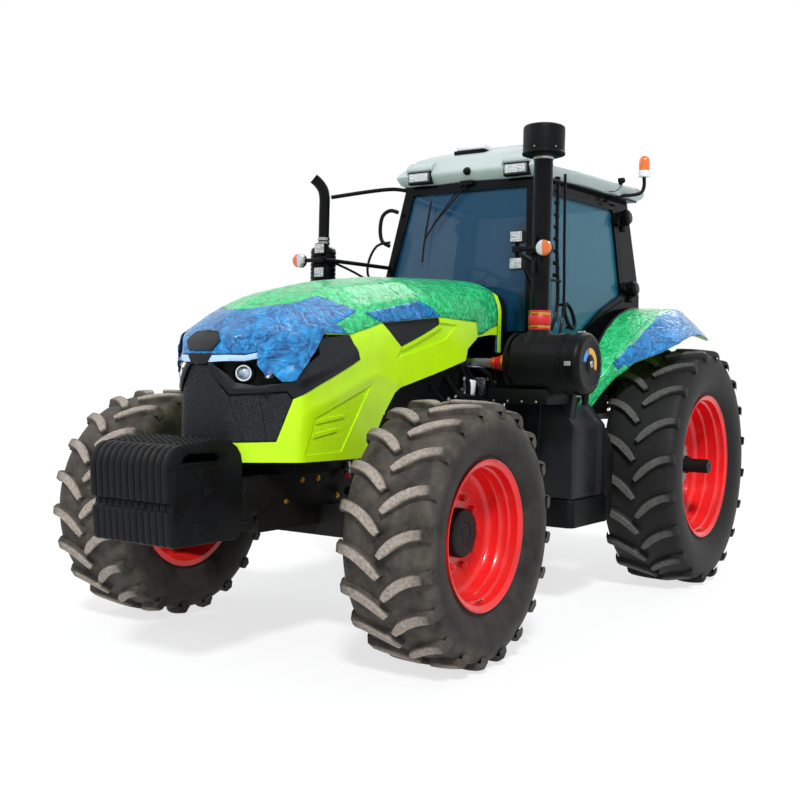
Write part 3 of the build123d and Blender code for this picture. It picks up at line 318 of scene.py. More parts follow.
def frame_of(axis):
    """Two directions square to an axis."""
    axis = Vector(axis).normalized()
    guide = Vector((0, 0, 1)) if abs(axis.z) < 0.9 else Vector((1, 0, 0))
    first = guide.cross(axis).normalized()
    return first, axis.cross(first)


def lathe(name, profile, centre, axis, count, finish, smooth_angle=35.0, closed=True):
    """A turned piece: (place along the axis, radius) pairs in millimetres about a centre."""
    axis = Vector(axis).normalized()
    first, second = frame_of(axis)
    verts, faces = [], []
    for along, radius in profile:
        for k in range(count):
            turn = 2 * math.pi * k / count
            ring = first * math.cos(turn) + second * math.sin(turn)
            verts.append(Vector(centre) + axis * along * MM + ring * max(radius, 0.0) * MM)
    rows = len(profile)
    for row in range(rows if closed else rows - 1):
        below, above = row * count, (row + 1) % rows * count
        if closed and row == rows - 1 and profile[0][1] <= 0 and profile[-1][1] <= 0:
            continue
        for k in range(count):
            nxt = (k + 1) % count
            faces.append((below + k, below + nxt, above + nxt, above + k))
    return mesh_object(name, verts, faces, finish, smooth_angle=smooth_angle)


def bolt(name, place, axis, radius_mm, finish, height_mm=None, count=6):
    """A bolt head with a small washer, standing on a face."""
    height = height_mm or radius_mm * 0.8
    profile = [(0, 0), (0, radius_mm * 1.5), (radius_mm * 0.25, radius_mm * 1.5),
               (radius_mm * 0.25, radius_mm), (height, radius_mm), (height + 0.6, radius_mm * 0.85),
               (height + 0.6, 0)]
    return lathe(name, profile, place, axis, count * 2, finish, 25)


def prism(name, outline, direction, depth, finish, bevel_mm=3.0, segments=2):
    """A straight solid on a closed outline of 3-D points, rounded along its edges."""
    count = len(outline)
    shift = Vector(direction).normalized() * depth
    verts = [Vector(p) for p in outline] + [Vector(p) + shift for p in outline]
    faces = [tuple(range(count)), tuple(range(2 * count - 1, count - 1, -1))]
    faces += [(k, (k + 1) % count, (k + 1) % count + count, k + count) for k in range(count)]
    obj = mesh_object(name, verts, faces, finish)
    return rounded(obj, bevel_mm, segments) if bevel_mm else obj


def box_piece(name, low, high, finish, bevel_mm=4.0, segments=2):
    outline = [(low[0], low[1], low[2]), (high[0], low[1], low[2]), (high[0], high[1], low[2]),
               (low[0], high[1], low[2])]
    return prism(name, outline, UP, high[2] - low[2], finish, bevel_mm, segments)


def tube(name, points, radius_mm, finish, sides=14, smooth=4, caps=True):
    """A round tube through points, its line softened between them."""
    curve = [Vector(p) for p in points]
    if smooth:
        fine = []
        for k in range(len(curve) - 1):
            p0 = curve[max(k - 1, 0)]
            p1, p2 = curve[k], curve[k + 1]
            p3 = curve[min(k + 2, len(curve) - 1)]
            for s in range(smooth):
                t = s / smooth
                fine.append(0.5 * (2 * p1 + (p2 - p0) * t + (2 * p0 - 5 * p1 + 4 * p2 - p3) * t * t
                                   + (3 * p1 - p0 - 3 * p2 + p3) * t ** 3))
        fine.append(curve[-1])
        curve = fine
    radii = radius_mm if isinstance(radius_mm, (list, tuple)) else [radius_mm] * len(curve)
    tangent = (curve[1] - curve[0]).normalized()
    first, second = frame_of(tangent)
    verts, faces = [], []
    for k, point in enumerate(curve):
        ahead = curve[min(k + 1, len(curve) - 1)] - curve[max(k - 1, 0)]
        turn = tangent.rotation_difference(ahead.normalized())
        first, second, tangent = turn @ first, turn @ second, ahead.normalized()
        for s in range(sides):
            angle = 2 * math.pi * s / sides
            verts.append(point + (first * math.cos(angle) + second * math.sin(angle)) * radii[k] * MM)
    for k in range(len(curve) - 1):
        for s in range(sides):
            n = (s + 1) % sides
            faces.append((k * sides + s, k * sides + n, (k + 1) * sides + n, (k + 1) * sides + s))
    if caps:
        faces.append(tuple(range(sides - 1, -1, -1)))
        faces.append(tuple(range((len(curve) - 1) * sides, len(curve) * sides)))
    return mesh_object(name, verts, faces, finish)


def copies_tree(material):
    """Geometry nodes: copies of a shape, each turned about an axle and stepped on from the last."""
    tree = bpy.data.node_groups.new("Copies", "GeometryNodeTree")
    face = tree.interface
    face.new_socket("Geometry", in_out="INPUT", socket_type="NodeSocketGeometry")
    for label, kind in (("Count", "NodeSocketInt"), ("Turn", "NodeSocketVector"),
                        ("Step", "NodeSocketVector"), ("Centre", "NodeSocketVector")):
        face.new_socket(label, in_out="INPUT", socket_type=kind)
    face.new_socket("Geometry", in_out="OUTPUT", socket_type="NodeSocketGeometry")
    inputs = add(tree, "NodeGroupInput")
    points = add(tree, "GeometryNodePoints", {"Count": inputs.outputs["Count"]})
    index = add(tree, "GeometryNodeInputIndex")
    turn = add(tree, "ShaderNodeVectorMath", {0: inputs.outputs["Turn"]}, operation="SCALE")
    tree.links.new(index.outputs[0], turn.inputs["Scale"])
    step = add(tree, "ShaderNodeVectorMath", {0: inputs.outputs["Step"]}, operation="SCALE")
    tree.links.new(index.outputs[0], step.inputs["Scale"])
    place = add(tree, "ShaderNodeVectorMath", {0: step, 1: inputs.outputs["Centre"]}, operation="ADD")
    spread = add(tree, "GeometryNodeSetPosition", {"Geometry": points, "Position": place})
    copies = add(tree, "GeometryNodeInstanceOnPoints",
                 {"Points": spread, "Instance": inputs.outputs["Geometry"], "Rotation": turn})
    real = add(tree, "GeometryNodeRealizeInstances", {"Geometry": copies})
    finish = add(tree, "GeometryNodeSetMaterial", {"Geometry": real, "Material": material})
    add(tree, "NodeGroupOutput", {"Geometry": finish})
    return tree


def repeated(obj, finish, count, turn=(0, 0, 0), step=(0, 0, 0), centre=(0, 0, 0), smooth_angle=35.0):
    """The object's shape repeated by the copies tree and made plain."""
    tree = copies_tree(FINISH[finish])
    modifier = obj.modifiers.new("Copies", "NODES")
    modifier.node_group = tree
    values = {"Count": count, "Turn": turn, "Step": step, "Centre": centre}
    for item in tree.interface.items_tree:
        if item.in_out == "INPUT" and item.name in values:
            modifier[item.identifier] = values[item.name]
    apply_modifiers(obj, smooth_angle)
    bpy.data.node_groups.remove(tree)
    return obj


# ---------------------------------------------------------------- finishes


def darker(colour, share):
    return tuple(share * c for c in colour)


def make_finishes():
    """Every finish by its name."""
    paint = bpy.context.scene.tractor_paint
    tyres = bpy.context.scene.tractor_tyres
    made = {
        # gloss lime enamel: saturated yellow green, a thin clear coat, faint orange-peel
        "lime": coated("lime_enamel", paint.lime, darker(paint.lime, 0.9), roughness=(0.26, 0.36), coat=0.12,
                       bump_mm=0.15, bump_grain_mm=4.0, sheen=0.25, round_mm=2.0),
        # gloss scarlet rim enamel: bright, lightly dusted low down
        "red": coated("scarlet_enamel", paint.rim, darker(paint.rim, 0.78), roughness=(0.22, 0.34), coat=0.4,
                      dust="#8A6A5A", dust_amount=0.22, sheen=0.25, round_mm=2.0),
        # satin black chassis paint on cast iron: even sheen, road dust in the low parts
        "black_metal": coated("chassis_black", "#08090A", "#0E0F11", roughness=(0.34, 0.5), bump_mm=0.25,
                              bump_grain_mm=3.0, dust="#6B655C", dust_amount=0.16, sheen=0.1, round_mm=3.0),
        # gloss black pipe and pillar paint: deep, with long clean reflections
        "gloss_black": coated("gloss_black", "#08090B", "#0C0E12", roughness=(0.08, 0.16), coat=0.04,
                              sheen=0.08, round_mm=2.5),
        # rough cast iron painted black: sand-cast grain on the ballast and castings
        "cast_black": coated("cast_iron_black", "#08090B", "#101216", roughness=(0.4, 0.58), bump_mm=0.5,
                             bump_grain_mm=4.0, dust="#6E6960", dust_amount=0.06, sheen=0.1, round_mm=3.0),
        # moulded black plastic: deep with a fine leather-like grain
        "black_plastic": coated("moulded_black", "#090A0B", "#0F1012", roughness=(0.34, 0.46), bump_mm=0.12,
                                bump_grain_mm=1.2, sheen=0.1, round_mm=2.5),
        # roto-moulded tank plastic: charcoal with a cool satin bloom on its edges
        "tank_plastic": coated("tank_charcoal", "#101216", "#171A20", roughness=(0.32, 0.44), bump_mm=0.15,
                               bump_grain_mm=2.0, dust="#5C5853", dust_amount=0.08, sheen=0.2, round_mm=5.0),
        # dark grey moulded surround: a lighter satin than the plastic round it
        "grey_plastic": coated("moulded_dark_grey", "#141619", "#1B1E22", roughness=(0.3, 0.42), bump_mm=0.1,
                               bump_grain_mm=1.5, sheen=0.2, round_mm=2.5),
        # soft-touch dash cover: matt slate blue behind the tinted glass
        "dash_blue": coated("dash_slate", "#2A3648", "#232E3E", roughness=(0.5, 0.65), round_mm=3.0),
        # white moulded housings: clean gloss
        "white_plastic": coated("moulded_white", "#E4E8E9", "#D6DADB", roughness=(0.2, 0.32), round_mm=2.0),
        # grey cast lamp shells: half metal, half paint
        "zinc_grey": coated("lamp_shell_grey", "#6C7073", "#585C60", roughness=(0.35, 0.5), metallic=0.5,
                            round_mm=1.5),
        # printed marks on the cleaner's cap: flat yellow and blue
        "yellow_mark": coated("print_yellow", "#E0A81C", "#CF981A", roughness=(0.35, 0.45)),
        "blue_mark": coated("print_blue", "#3F8FD8", "#347FC6", roughness=(0.35, 0.45)),
        # pale grey moulded roof skin: soft satin in two close, broad tones
        "roof": coated("roof_pale_grey", "#B4C0BD", "#A7B4B0", grain_mm=160, roughness=(0.3, 0.42),
                       bump_mm=0.05, bump_grain_mm=3.0, round_mm=4.0),
        # machined hub ring: silver grey paint over cast iron
        "hub_grey": coated("hub_silver_grey", "#8E9396", "#7A7F82", roughness=(0.35, 0.5), metallic=0.35,
                           bump_mm=0.25, bump_grain_mm=4.0, dust="#6B655C", dust_amount=0.35, round_mm=2.0),
        # bare ground steel of pins and splines: bright with oily darker patches
        "steel": coated("ground_steel", "#B4B6B8", "#8F9194", roughness=(0.2, 0.38), metallic=1.0,
                        round_mm=1.0),
        # projector lens: hard clear gloss over pale and dark patches that are painted glints and painted
        # reflection
        "projector": coated("projector_lens", "#9FB0C4", "#20262E", grain_mm=6, roughness=(0.03, 0.08),
                            coat=1.0),
        # polished chrome pipe: near mirror
        "chrome": coated("chrome_pipe", "#F2F4F6", "#DADFE3", roughness=(0.1, 0.22), metallic=0.9,
                         round_mm=1.0),
        # moulded silicone hose: red with a dull skin
        "silicone": coated("red_silicone", "#C8161C", "#A90F16", roughness=(0.4, 0.55), bump_mm=0.15,
                           bump_grain_mm=1.5, round_mm=2.0),
        # yellow zinc clamp bands: a dull golden glint
        "zinc": coated("yellow_zinc", "#C9A63A", "#A88A2E", roughness=(0.25, 0.4), metallic=0.9,
                       round_mm=0.8),
        # woven seat cloth: charcoal without shine
        "cloth": coated("seat_cloth", "#2A2C2F", "#1F2123", roughness=(0.8, 0.95), bump_mm=0.5,
                        bump_grain_mm=1.5),
        # padded cab lining: flat mid grey
        "lining": coated("cab_lining", "#4A4D50", "#3E4144", roughness=(0.6, 0.8), bump_mm=0.2,
                         bump_grain_mm=2.0),
    }
    for end, axle, tip in (("front", FRONT_AXLE, tyres.front_radius), ("rear", REAR_AXLE, tyres.rear_radius)):
        made[end + "_rubber"] = rubber(end, axle, tip)
    # punched grille: holes painted near black as painted shade between satin webs whose lighter tone is
    # partly painted highlight, drawn coarser than the real mesh so that it shows
    made["mesh"] = mesh_finish("grille_mesh", "#030304", "#25282C", 10.0)
    # textured lime inlay of the hood's legs: the lattice in two close limes, the darker one painted shade in
    # its pits, as coarse for the same reason
    made["lime_mesh"] = mesh_finish("lime_texture", darker(paint.lime, 0.82), paint.lime, 8.0)
    # teal cab glass, its tint painted deeper in the windshield and paler in the doors as painted reflection
    made["glass"] = tinted_glass("cab_glass", "#0B4260", 0.34)
    made["door_glass"] = tinted_glass("door_glass", "#1B6A82", 0.5)
    # delivery films: crumpled, glossy blue and green, a paler lap where they meet, and clear wrap; the pale
    # tones on their fold crests are painted highlight, the deep tones in the hollows painted shade, and the
    # clear wrap's tones painted reflection
    made["blue_film"] = film("blue_film", "#064C8A", "#1A97DA", 0.95)
    made["green_film"] = film("green_film", "#0BA155", "#3ADE90", 0.94)
    made["pale_film"] = film("pale_film", "#2AAE74", "#86DDB0", 0.9)
    made["clear_wrap"] = film("clear_wrap", "#3A3D42", "#AEB6BC", 0.35)
    # lamp lenses: diode cells painted brightest at their middles as painted glints, and ribbed amber, red,
    # clear and cool white, their rib crests painted paler as painted highlight
    made["led_lens"] = led_cells()
    made["amber"] = lens("amber_lens", "#E8701A", 0.35)
    made["red_lens"] = lens("red_lens", "#D8391C", 0.3)
    made["clear_lens"] = lens("clear_lens", "#E8ECEE", 0.55)
    made["light_strip"] = lens("light_strip", "#A9CBF0", 0.1)
    return made


def rubber(end, axle, tip):
    """Tyre rubber: near black, dust in the grooves, grey lug faces from wear and fine rings on the wall; the
    rear tyres take darker lug faces and less, darker dust than the front ones, partly as painted shade.
    """
    # lug-face and dust tones by end: wear and dust on all four tyres, the rear's darker tones partly painted
    # shade
    wear_and_shade, dust_and_shade, amount = {"front": ("#AFA398", "#6C645B", 0.6), "rear": ("#62625F", "#2E2E2F", 0.3)}[end]
    material, tree, where, output = blank_material(end + "_tyre_rubber")
    centred = add(tree, "ShaderNodeVectorMath", {0: where, 1: (axle.x, 0, axle.z)}, operation="SUBTRACT")
    flat = add(tree, "ShaderNodeVectorMath", {0: centred, 1: (1, 0, 1)}, operation="MULTIPLY")
    radius = add(tree, "ShaderNodeVectorMath", {0: flat}, operation="LENGTH").outputs["Value"]
    lug_face = add(tree, "ShaderNodeMapRange",
                   {"Value": radius, "From Min": tip - 0.020, "From Max": tip - 0.004})
    clouds = add(tree, "ShaderNodeTexNoise",
                 {"Vector": where, "Scale": 7.0, "Detail": 8.0, "Roughness": 0.65})
    specks = add(tree, "ShaderNodeTexNoise", {"Vector": where, "Scale": 60.0, "Detail": 6.0})
    grit = add(tree, "ShaderNodeMapRange", {"Value": clouds, "From Min": 0.36, "From Max": 0.68,
                                           "To Min": 0.1, "To Max": amount})
    on_tread = add(tree, "ShaderNodeMapRange",
                   {"Value": radius, "From Min": tip - 0.15, "From Max": tip - 0.09, "To Min": 0.35})
    grit = add(tree, "ShaderNodeMath", {0: grit, 1: on_tread}, operation="MULTIPLY")
    base = add(tree, "ShaderNodeMix", {"Factor": grit, "A": rgba("#121213"), "B": rgba(dust_and_shade)},
               data_type="RGBA")
    wear = add(tree, "ShaderNodeMath", {0: lug_face, 1: specks}, operation="MULTIPLY")
    wear = add(tree, "ShaderNodeMath", {0: wear, 1: 1.25}, operation="MULTIPLY", use_clamp=True)
    faced = add(tree, "ShaderNodeMix", {"Factor": wear, "A": base.outputs["Result"], "B": rgba(wear_and_shade)},
                data_type="RGBA")
    rings = add(tree, "ShaderNodeMath", {0: radius, 1: 2 * math.pi / 0.011}, operation="MULTIPLY")
    rings = add(tree, "ShaderNodeMath", {0: rings}, operation="SINE")
    low = add(tree, "ShaderNodeMapRange", {"Value": radius, "From Min": tip - 0.11, "From Max": tip - 0.13})
    ring_height = add(tree, "ShaderNodeMath", {0: rings, 1: low}, operation="MULTIPLY")
    height = add(tree, "ShaderNodeMath", {0: ring_height, 1: 0.25, 2: specks}, operation="MULTIPLY_ADD")
    bump = add(tree, "ShaderNodeBump", {"Height": height, "Distance": 0.8 * MM, "Strength": 0.7})
    rough = add(tree, "ShaderNodeMapRange", {"Value": grit, "To Min": 0.55, "To Max": 0.9})
    shader = add(tree, "ShaderNodeBsdfPrincipled", {"Base Color": faced.outputs["Result"],
                                                    "Roughness": rough, "Normal": bump,
                                                    "Specular IOR Level": 0.2})
    tree.links.new(shader.outputs[0], output.inputs["Surface"])
    return material


def mesh_finish(name, dark, light, pitch_mm):
    """A lattice of holes between raised webs, from a dark and a light tone and its pitch; the dark tone fills
    the sunken holes as painted shade.
    """
    material, tree, where, output = blank_material(name)
    turns = (math.radians(45), 0, math.radians(20))
    turned = add(tree, "ShaderNodeMapping",
                 {"Vector": where, "Rotation": turns, "Scale": (1000 / pitch_mm,) * 3})
    cells = add(tree, "ShaderNodeTexVoronoi", {"Vector": turned, "Scale": 1.0, "Randomness": 0.45})
    web = add(tree, "ShaderNodeMapRange", {"Value": cells, "From Min": 0.32, "From Max": 0.5})
    # painted shade: the dark tone lies in the holes, which the bump sinks below the webs
    colour = ramp(tree, web, [(0.2, dark), (0.75, light)])
    bump = add(tree, "ShaderNodeBump", {"Height": web, "Distance": pitch_mm * 0.15 * MM, "Strength": 0.8})
    shader = add(tree, "ShaderNodeBsdfPrincipled", {"Base Color": colour, "Roughness": 0.5,
                                                    "Normal": bump, "Specular IOR Level": 0.15})
    tree.links.new(shader.outputs[0], output.inputs["Surface"])
    return material


def tinted_glass(name, colour, clear):
    """Tinted glass, see-through by the share given, with sharp, faintly smeared reflections."""
    material, tree, where, output = blank_material(name)
    smear = add(tree, "ShaderNodeTexNoise", {"Vector": where, "Scale": 3.0, "Detail": 4.0})
    rough = add(tree, "ShaderNodeMapRange", {"Value": smear, "To Min": 0.02, "To Max": 0.09})
    shader = add(tree, "ShaderNodeBsdfPrincipled",
                 {"Base Color": rgba(colour), "Roughness": rough, "Alpha": 1 - clear,
                  "Specular IOR Level": 0.3, "Coat Weight": 0.1, "Coat Roughness": 0.02})
    tree.links.new(shader.outputs[0], output.inputs["Surface"])
    return material


def film(name, deep, pale, alpha):
    """Thin protective film: stretched, wrinkled and glossy over the paint, painted paler on its fold crests
    as painted highlight and deeper in its hollows as painted shade.
    """
    material, tree, where, output = blank_material(name)
    bend = add(tree, "ShaderNodeTexNoise", {"Vector": where, "Scale": 2.4, "Detail": 5.0, "Distortion": 0.6})
    warped = add(tree, "ShaderNodeVectorMath", {0: bend.outputs["Color"], 1: (0.22, 0.22, 0.22), 2: where},
                 operation="MULTIPLY_ADD")
    folds = add(tree, "ShaderNodeTexNoise", {"Vector": warped, "Scale": 16.0, "Detail": 8.0,
                                            "Roughness": 0.62, "Distortion": 1.4})
    creases = add(tree, "ShaderNodeTexVoronoi", {"Vector": warped, "Scale": 13.0},
                  feature="DISTANCE_TO_EDGE")
    edge = add(tree, "ShaderNodeMapRange", {"Value": creases, "From Min": 0.0, "From Max": 0.12})
    height = add(tree, "ShaderNodeMath", {0: edge, 1: 0.35, 2: folds}, operation="MULTIPLY_ADD")
    # painted highlight and shade: the pale tone sits on the crests of the same folds that drive the bump, the
    # deep tone in their hollows
    colour = ramp(tree, folds, [(0.38, deep), (0.66, pale)])
    bump = add(tree, "ShaderNodeBump", {"Height": height, "Distance": 14 * MM, "Strength": 0.9})
    rough = add(tree, "ShaderNodeMapRange", {"Value": folds, "To Min": 0.12, "To Max": 0.3})
    shader = add(tree, "ShaderNodeBsdfPrincipled", {"Base Color": colour, "Roughness": rough,
                                                    "Normal": bump, "Alpha": alpha,
                                                    "Specular IOR Level": 0.3,
                                                    "Coat Weight": 0.3, "Coat Roughness": 0.06})
    tree.links.new(shader.outputs[0], output.inputs["Surface"])
    return material


def led_cells():
    """A lamp lens over a grid of diodes: pale cells with dark webs between, each cell painted brightest at
    its middle as a painted glint.
    """
    material, tree, where, output = blank_material("led_lens")
    cells = add(tree, "ShaderNodeTexVoronoi", {"Vector": where, "Scale": 95.0, "Randomness": 0.25})
    # painted glints: near white at each cell's middle, grey towards its edge
    glow = ramp(tree, cells, [(0.25, "#F4F7FA"), (0.62, "#6E7478")])
    bump = add(tree, "ShaderNodeBump", {"Height": cells, "Distance": 2 * MM, "Strength": 0.7})
    shader = add(tree, "ShaderNodeBsdfPrincipled", {"Base Color": glow, "Roughness": 0.12, "Coat Weight": 0.8,
                                                    "Normal": bump})
    tree.links.new(shader.outputs[0], output.inputs["Surface"])
    return material


def lens(name, colour, alpha):
    """A moulded lamp lens with fine optic ribs, their crests painted paler as painted highlight."""
    material, tree, where, output = blank_material(name)
    ribs = add(tree, "ShaderNodeTexWave", {"Vector": where, "Scale": 60.0, "Distortion": 0.2},
               bands_direction="Y")
    # painted highlight: the rib crests, raised by the same wave as the bump, are tinted paler
    paler = tuple(min(1, 1.15 * c) for c in linear(colour))
    tint = ramp(tree, ribs.outputs["Fac"], [(0.2, colour), (0.9, paler)])
    bump = add(tree, "ShaderNodeBump", {"Height": ribs.outputs["Fac"], "Distance": 0.6 * MM, "Strength": 0.5})
    shader = add(tree, "ShaderNodeBsdfPrincipled", {"Base Color": tint, "Roughness": 0.12,
                                                    "Normal": bump, "Transmission Weight": alpha,
                                                    "Coat Weight": 0.5})
    tree.links.new(shader.outputs[0], output.inputs["Surface"])
    return material


FINISH = {}
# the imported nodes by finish, whether or not a piece replaces them later
NODE_FINISHES = {
    "black_metal": ("front_axle", "front_frame", "transmission", "weight_carrier", "mounting_brackets",
                    "axle_housings", "cleaner_bracket", "lamp_bracket_left", "lamp_bracket_right", "steps",
                    "top_link", "drawbar", "knuckle_left", "knuckle_right", "lift_arms", "lift_rod_left",
                    "lift_rod_right", "lower_link_left", "lower_link_right", "exhaust", "intake_stack",
                    "air_cleaner", "tank_left", "tank_right"),
    "gloss_black": ("cab_frame", "door_left", "door_right"),
    "cast_black": ("front_weights", "engine", "cooler"),
    "grey_plastic": ("headlight_surround",),
    "black_plastic": ("console",),
    "mesh": ("grille",),
    "lime": ("hood", "cowl", "fender_left", "fender_right"),
    "roof": ("cab_roof",),
    "glass": ("cab_glass",),
    "door_glass": ("door_glass_left", "door_glass_right"),
    "silicone": ("stack_coupling",),
    "chrome": ("intake_pipe",),
    "amber": ("beacon",),
    "clear_lens": ("roof_lamps",),
    "cloth": ("seat",),
    "steel": ("pto_shaft",),
    "red": ("front_rim_left", "front_rim_right", "rear_rim_left", "rear_rim_right"),
    "front_rubber": ("front_tyre_left", "front_tyre_right"),
    "rear_rubber": ("rear_tyre_left", "rear_tyre_right"),
    "hub_grey": ("front_hub_left", "front_hub_right", "rear_hub_left", "rear_hub_right"),
}


class PaintColours(bpy.types.PropertyGroup):
    lime: FloatVectorProperty(name="Lime", description="Body enamel", subtype="COLOR", size=3, min=0, max=1,
                              default=linear("#BEEF10"))
    rim: FloatVectorProperty(name="Rims", description="Rim enamel", subtype="COLOR", size=3, min=0, max=1,
                             default=linear("#DC0410"))


class TyreSizes(bpy.types.PropertyGroup):
    front_radius: FloatProperty(name="Front tyre radius", description="Axle to the front lug faces",
                                default=0.720, unit="LENGTH")
    rear_radius: FloatProperty(name="Rear tyre radius", description="Axle to the rear lug faces",
                               default=0.915, unit="LENGTH")
    front_half: FloatProperty(name="Front half width", description="Half of a front tyre's width",
                              default=0.270, unit="LENGTH")
    rear_half: FloatProperty(name="Rear half width", description="Half of a rear tyre's width",
                             default=0.2875, unit="LENGTH")
    lug_height: FloatProperty(name="Lug height", description="Tread to the lug faces", default=0.046,
                              unit="LENGTH")
    lug_width: FloatProperty(name="Lug width", description="Width of a lug's root", default=0.052,
                             unit="LENGTH")
    lug_count: IntProperty(name="Lugs", description="Lugs on each half of a tyre", default=20, min=8, max=40)


class BallastSizes(bpy.types.PropertyGroup):
    count: IntProperty(name="Weights", description="Front weights", default=12, min=1, max=20)
    pitch: FloatProperty(name="Pitch", description="From one weight to the next", default=0.0465,
                         unit="LENGTH")
    thickness: FloatProperty(name="Thickness", description="Of one weight", default=0.0435, unit="LENGTH")


class PaintFinishes(bpy.types.Operator):
    """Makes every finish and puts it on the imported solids"""
    bl_idname = "tractor.finishes"
    bl_label = "Finishes"

    def execute(self, context):
        FINISH.update(make_finishes())
        for finish, nodes in NODE_FINISHES.items():
            for node in nodes:
                materials = NODES[node].data.materials
                materials.clear()
                materials.append(FINISH[finish])
        return {"FINISHED"}


def seen_directly(tree):
    """1 where the camera, a reflection or clear glass looks."""
    path = add(tree, "ShaderNodeLightPath")
    total = add(tree, "ShaderNodeMath", {0: path.outputs["Is Camera Ray"], 1: path.outputs["Is Glossy Ray"]},
                operation="ADD")
    return add(tree, "ShaderNodeMath", {0: total, 1: path.outputs["Is Transmission Ray"]},
               operation="ADD", use_clamp=True)


CAMERA_TURNS = (33.66, 1.16, 1.29)    # degrees: round from straight ahead, down, and over to the side
CAMERA_PLACE = (6.629, 4.091, 1.548)  # metres
CAMERA_LENS = 48.70                   # millimetres, on a 36 mm sensor
FLOOR_HALF = 60.0


class SetStage(bpy.types.Operator):
    """Camera, pale floor and soft studio light"""
    bl_idname = "tractor.stage"
    bl_label = "Stage"

    def execute(self, context):
        scene = context.scene
        scene.view_settings.view_transform = "Standard"
        yaw, pitch, roll = (math.radians(angle) for angle in CAMERA_TURNS)
        ahead = Vector((-math.cos(pitch) * math.cos(yaw), -math.cos(pitch) * math.sin(yaw), -math.sin(pitch)))
        right = ahead.cross(Vector((0, 0, 1))).normalized()
        above = right.cross(ahead)
        turned = right * math.cos(roll) + above * math.sin(roll)
        lifted = above * math.cos(roll) - right * math.sin(roll)
        data = bpy.data.cameras.new("Camera")
        data.lens = CAMERA_LENS
        data.sensor_width = 36.0
        data.clip_end = 200.0
        camera = bpy.data.objects.new("Camera", data)
        axes = Matrix((turned, lifted, -ahead)).transposed()
        camera.matrix_world = Matrix.Translation(CAMERA_PLACE) @ axes.to_4x4()
        scene.collection.objects.link(camera)
        scene.camera = camera

        world = bpy.data.worlds.new("Sky")
        world.use_nodes = True
        tree = world.node_tree
        tree.nodes.clear()
        seen = seen_directly(tree)
        paper = add(tree, "ShaderNodeBackground", {"Color": (1, 1, 1, 1), "Strength": 1.0})
        light = add(tree, "ShaderNodeBackground", {"Color": (0.90, 0.95, 1.0, 1), "Strength": 0.5})
        mix = add(tree, "ShaderNodeMixShader", {"Fac": seen, 1: light, 2: paper})
        add(tree, "ShaderNodeOutputWorld", {"Surface": mix})
        scene.world = world

        material, tree, where, output = blank_material("studio_floor")
        grain = add(tree, "ShaderNodeTexNoise", {"Vector": where, "Scale": 30.0})
        tone = ramp(tree, grain, [(0.3, "#F4F4F4"), (0.7, "#F8F8F8")])
        matt = add(tree, "ShaderNodeBsdfDiffuse", {"Color": tone})
        glow = add(tree, "ShaderNodeEmission", {"Color": (1, 1, 1, 1), "Strength": 1.0})
        half = add(tree, "ShaderNodeMath", {0: seen_directly(tree), 1: 0.72}, operation="MULTIPLY")
        mix = add(tree, "ShaderNodeMixShader", {"Fac": half, 1: matt, 2: glow})
        tree.links.new(mix.outputs[0], output.inputs["Surface"])
        FINISH["studio_floor"] = material
        corners = [(FLOOR_HALF * x, FLOOR_HALF * y, 0) for x, y in ((-1, -1), (1, -1), (1, 1), (-1, 1))]
        floor = mesh_object("floor", corners, [(0, 1, 2, 3)], "studio_floor")
        floor.data.transform(Matrix.Translation((0, 0, CAD_BOX[0][2] - 0.001)))

        for name, toward, strength, angle in (("key", (-0.62, -0.42, -0.78), 3.0, 9),
                                              ("fill", (-0.2, 0.75, -0.45), 0.5, 30),
                                              ("back", (0.8, 0.1, -0.6), 0.7, 25)):
            lamp = bpy.data.lights.new(name, "SUN")
            lamp.energy = strength
            lamp.angle = math.radians(angle)
            obj = bpy.data.objects.new(name, lamp)
            obj.rotation_euler = Vector(toward).to_track_quat("-Z", "Y").to_euler()
            scene.collection.objects.link(obj)
        return {"FINISHED"}


# ---------------------------------------------------------------- tyres

# middle of a lug from the centre line outward: share of the half width, share of the
# pitch by which it leads there, drop of its face in millimetres
LUG_LINE = [
    (0.03, 0.10, 0),
    (0.12, 0.22, 0),
    (0.25, 0.36, 1),
    (0.40, 0.49, 2),
    (0.56, 0.59, 4),
    (0.72, 0.66, 7),
    (0.87, 0.69, 12),
    (0.95, 0.70, 22),
    (0.99, 0.70, 44),
    (1.00, 0.70, 74),
]
# carcass outside the bead: share of the half width, share of the height from bead to tread
WALL_LINE = [
    (0.80, 0.00),
    (0.87, 0.10),
    (0.945, 0.24),
    (0.99, 0.42),
    (1.00, 0.56),
    (0.985, 0.72),
    (0.955, 0.86),
    (0.89, 0.96),
    (0.78, 0.995),
    (0.50, 1.01),
    (0.00, 1.02),
]


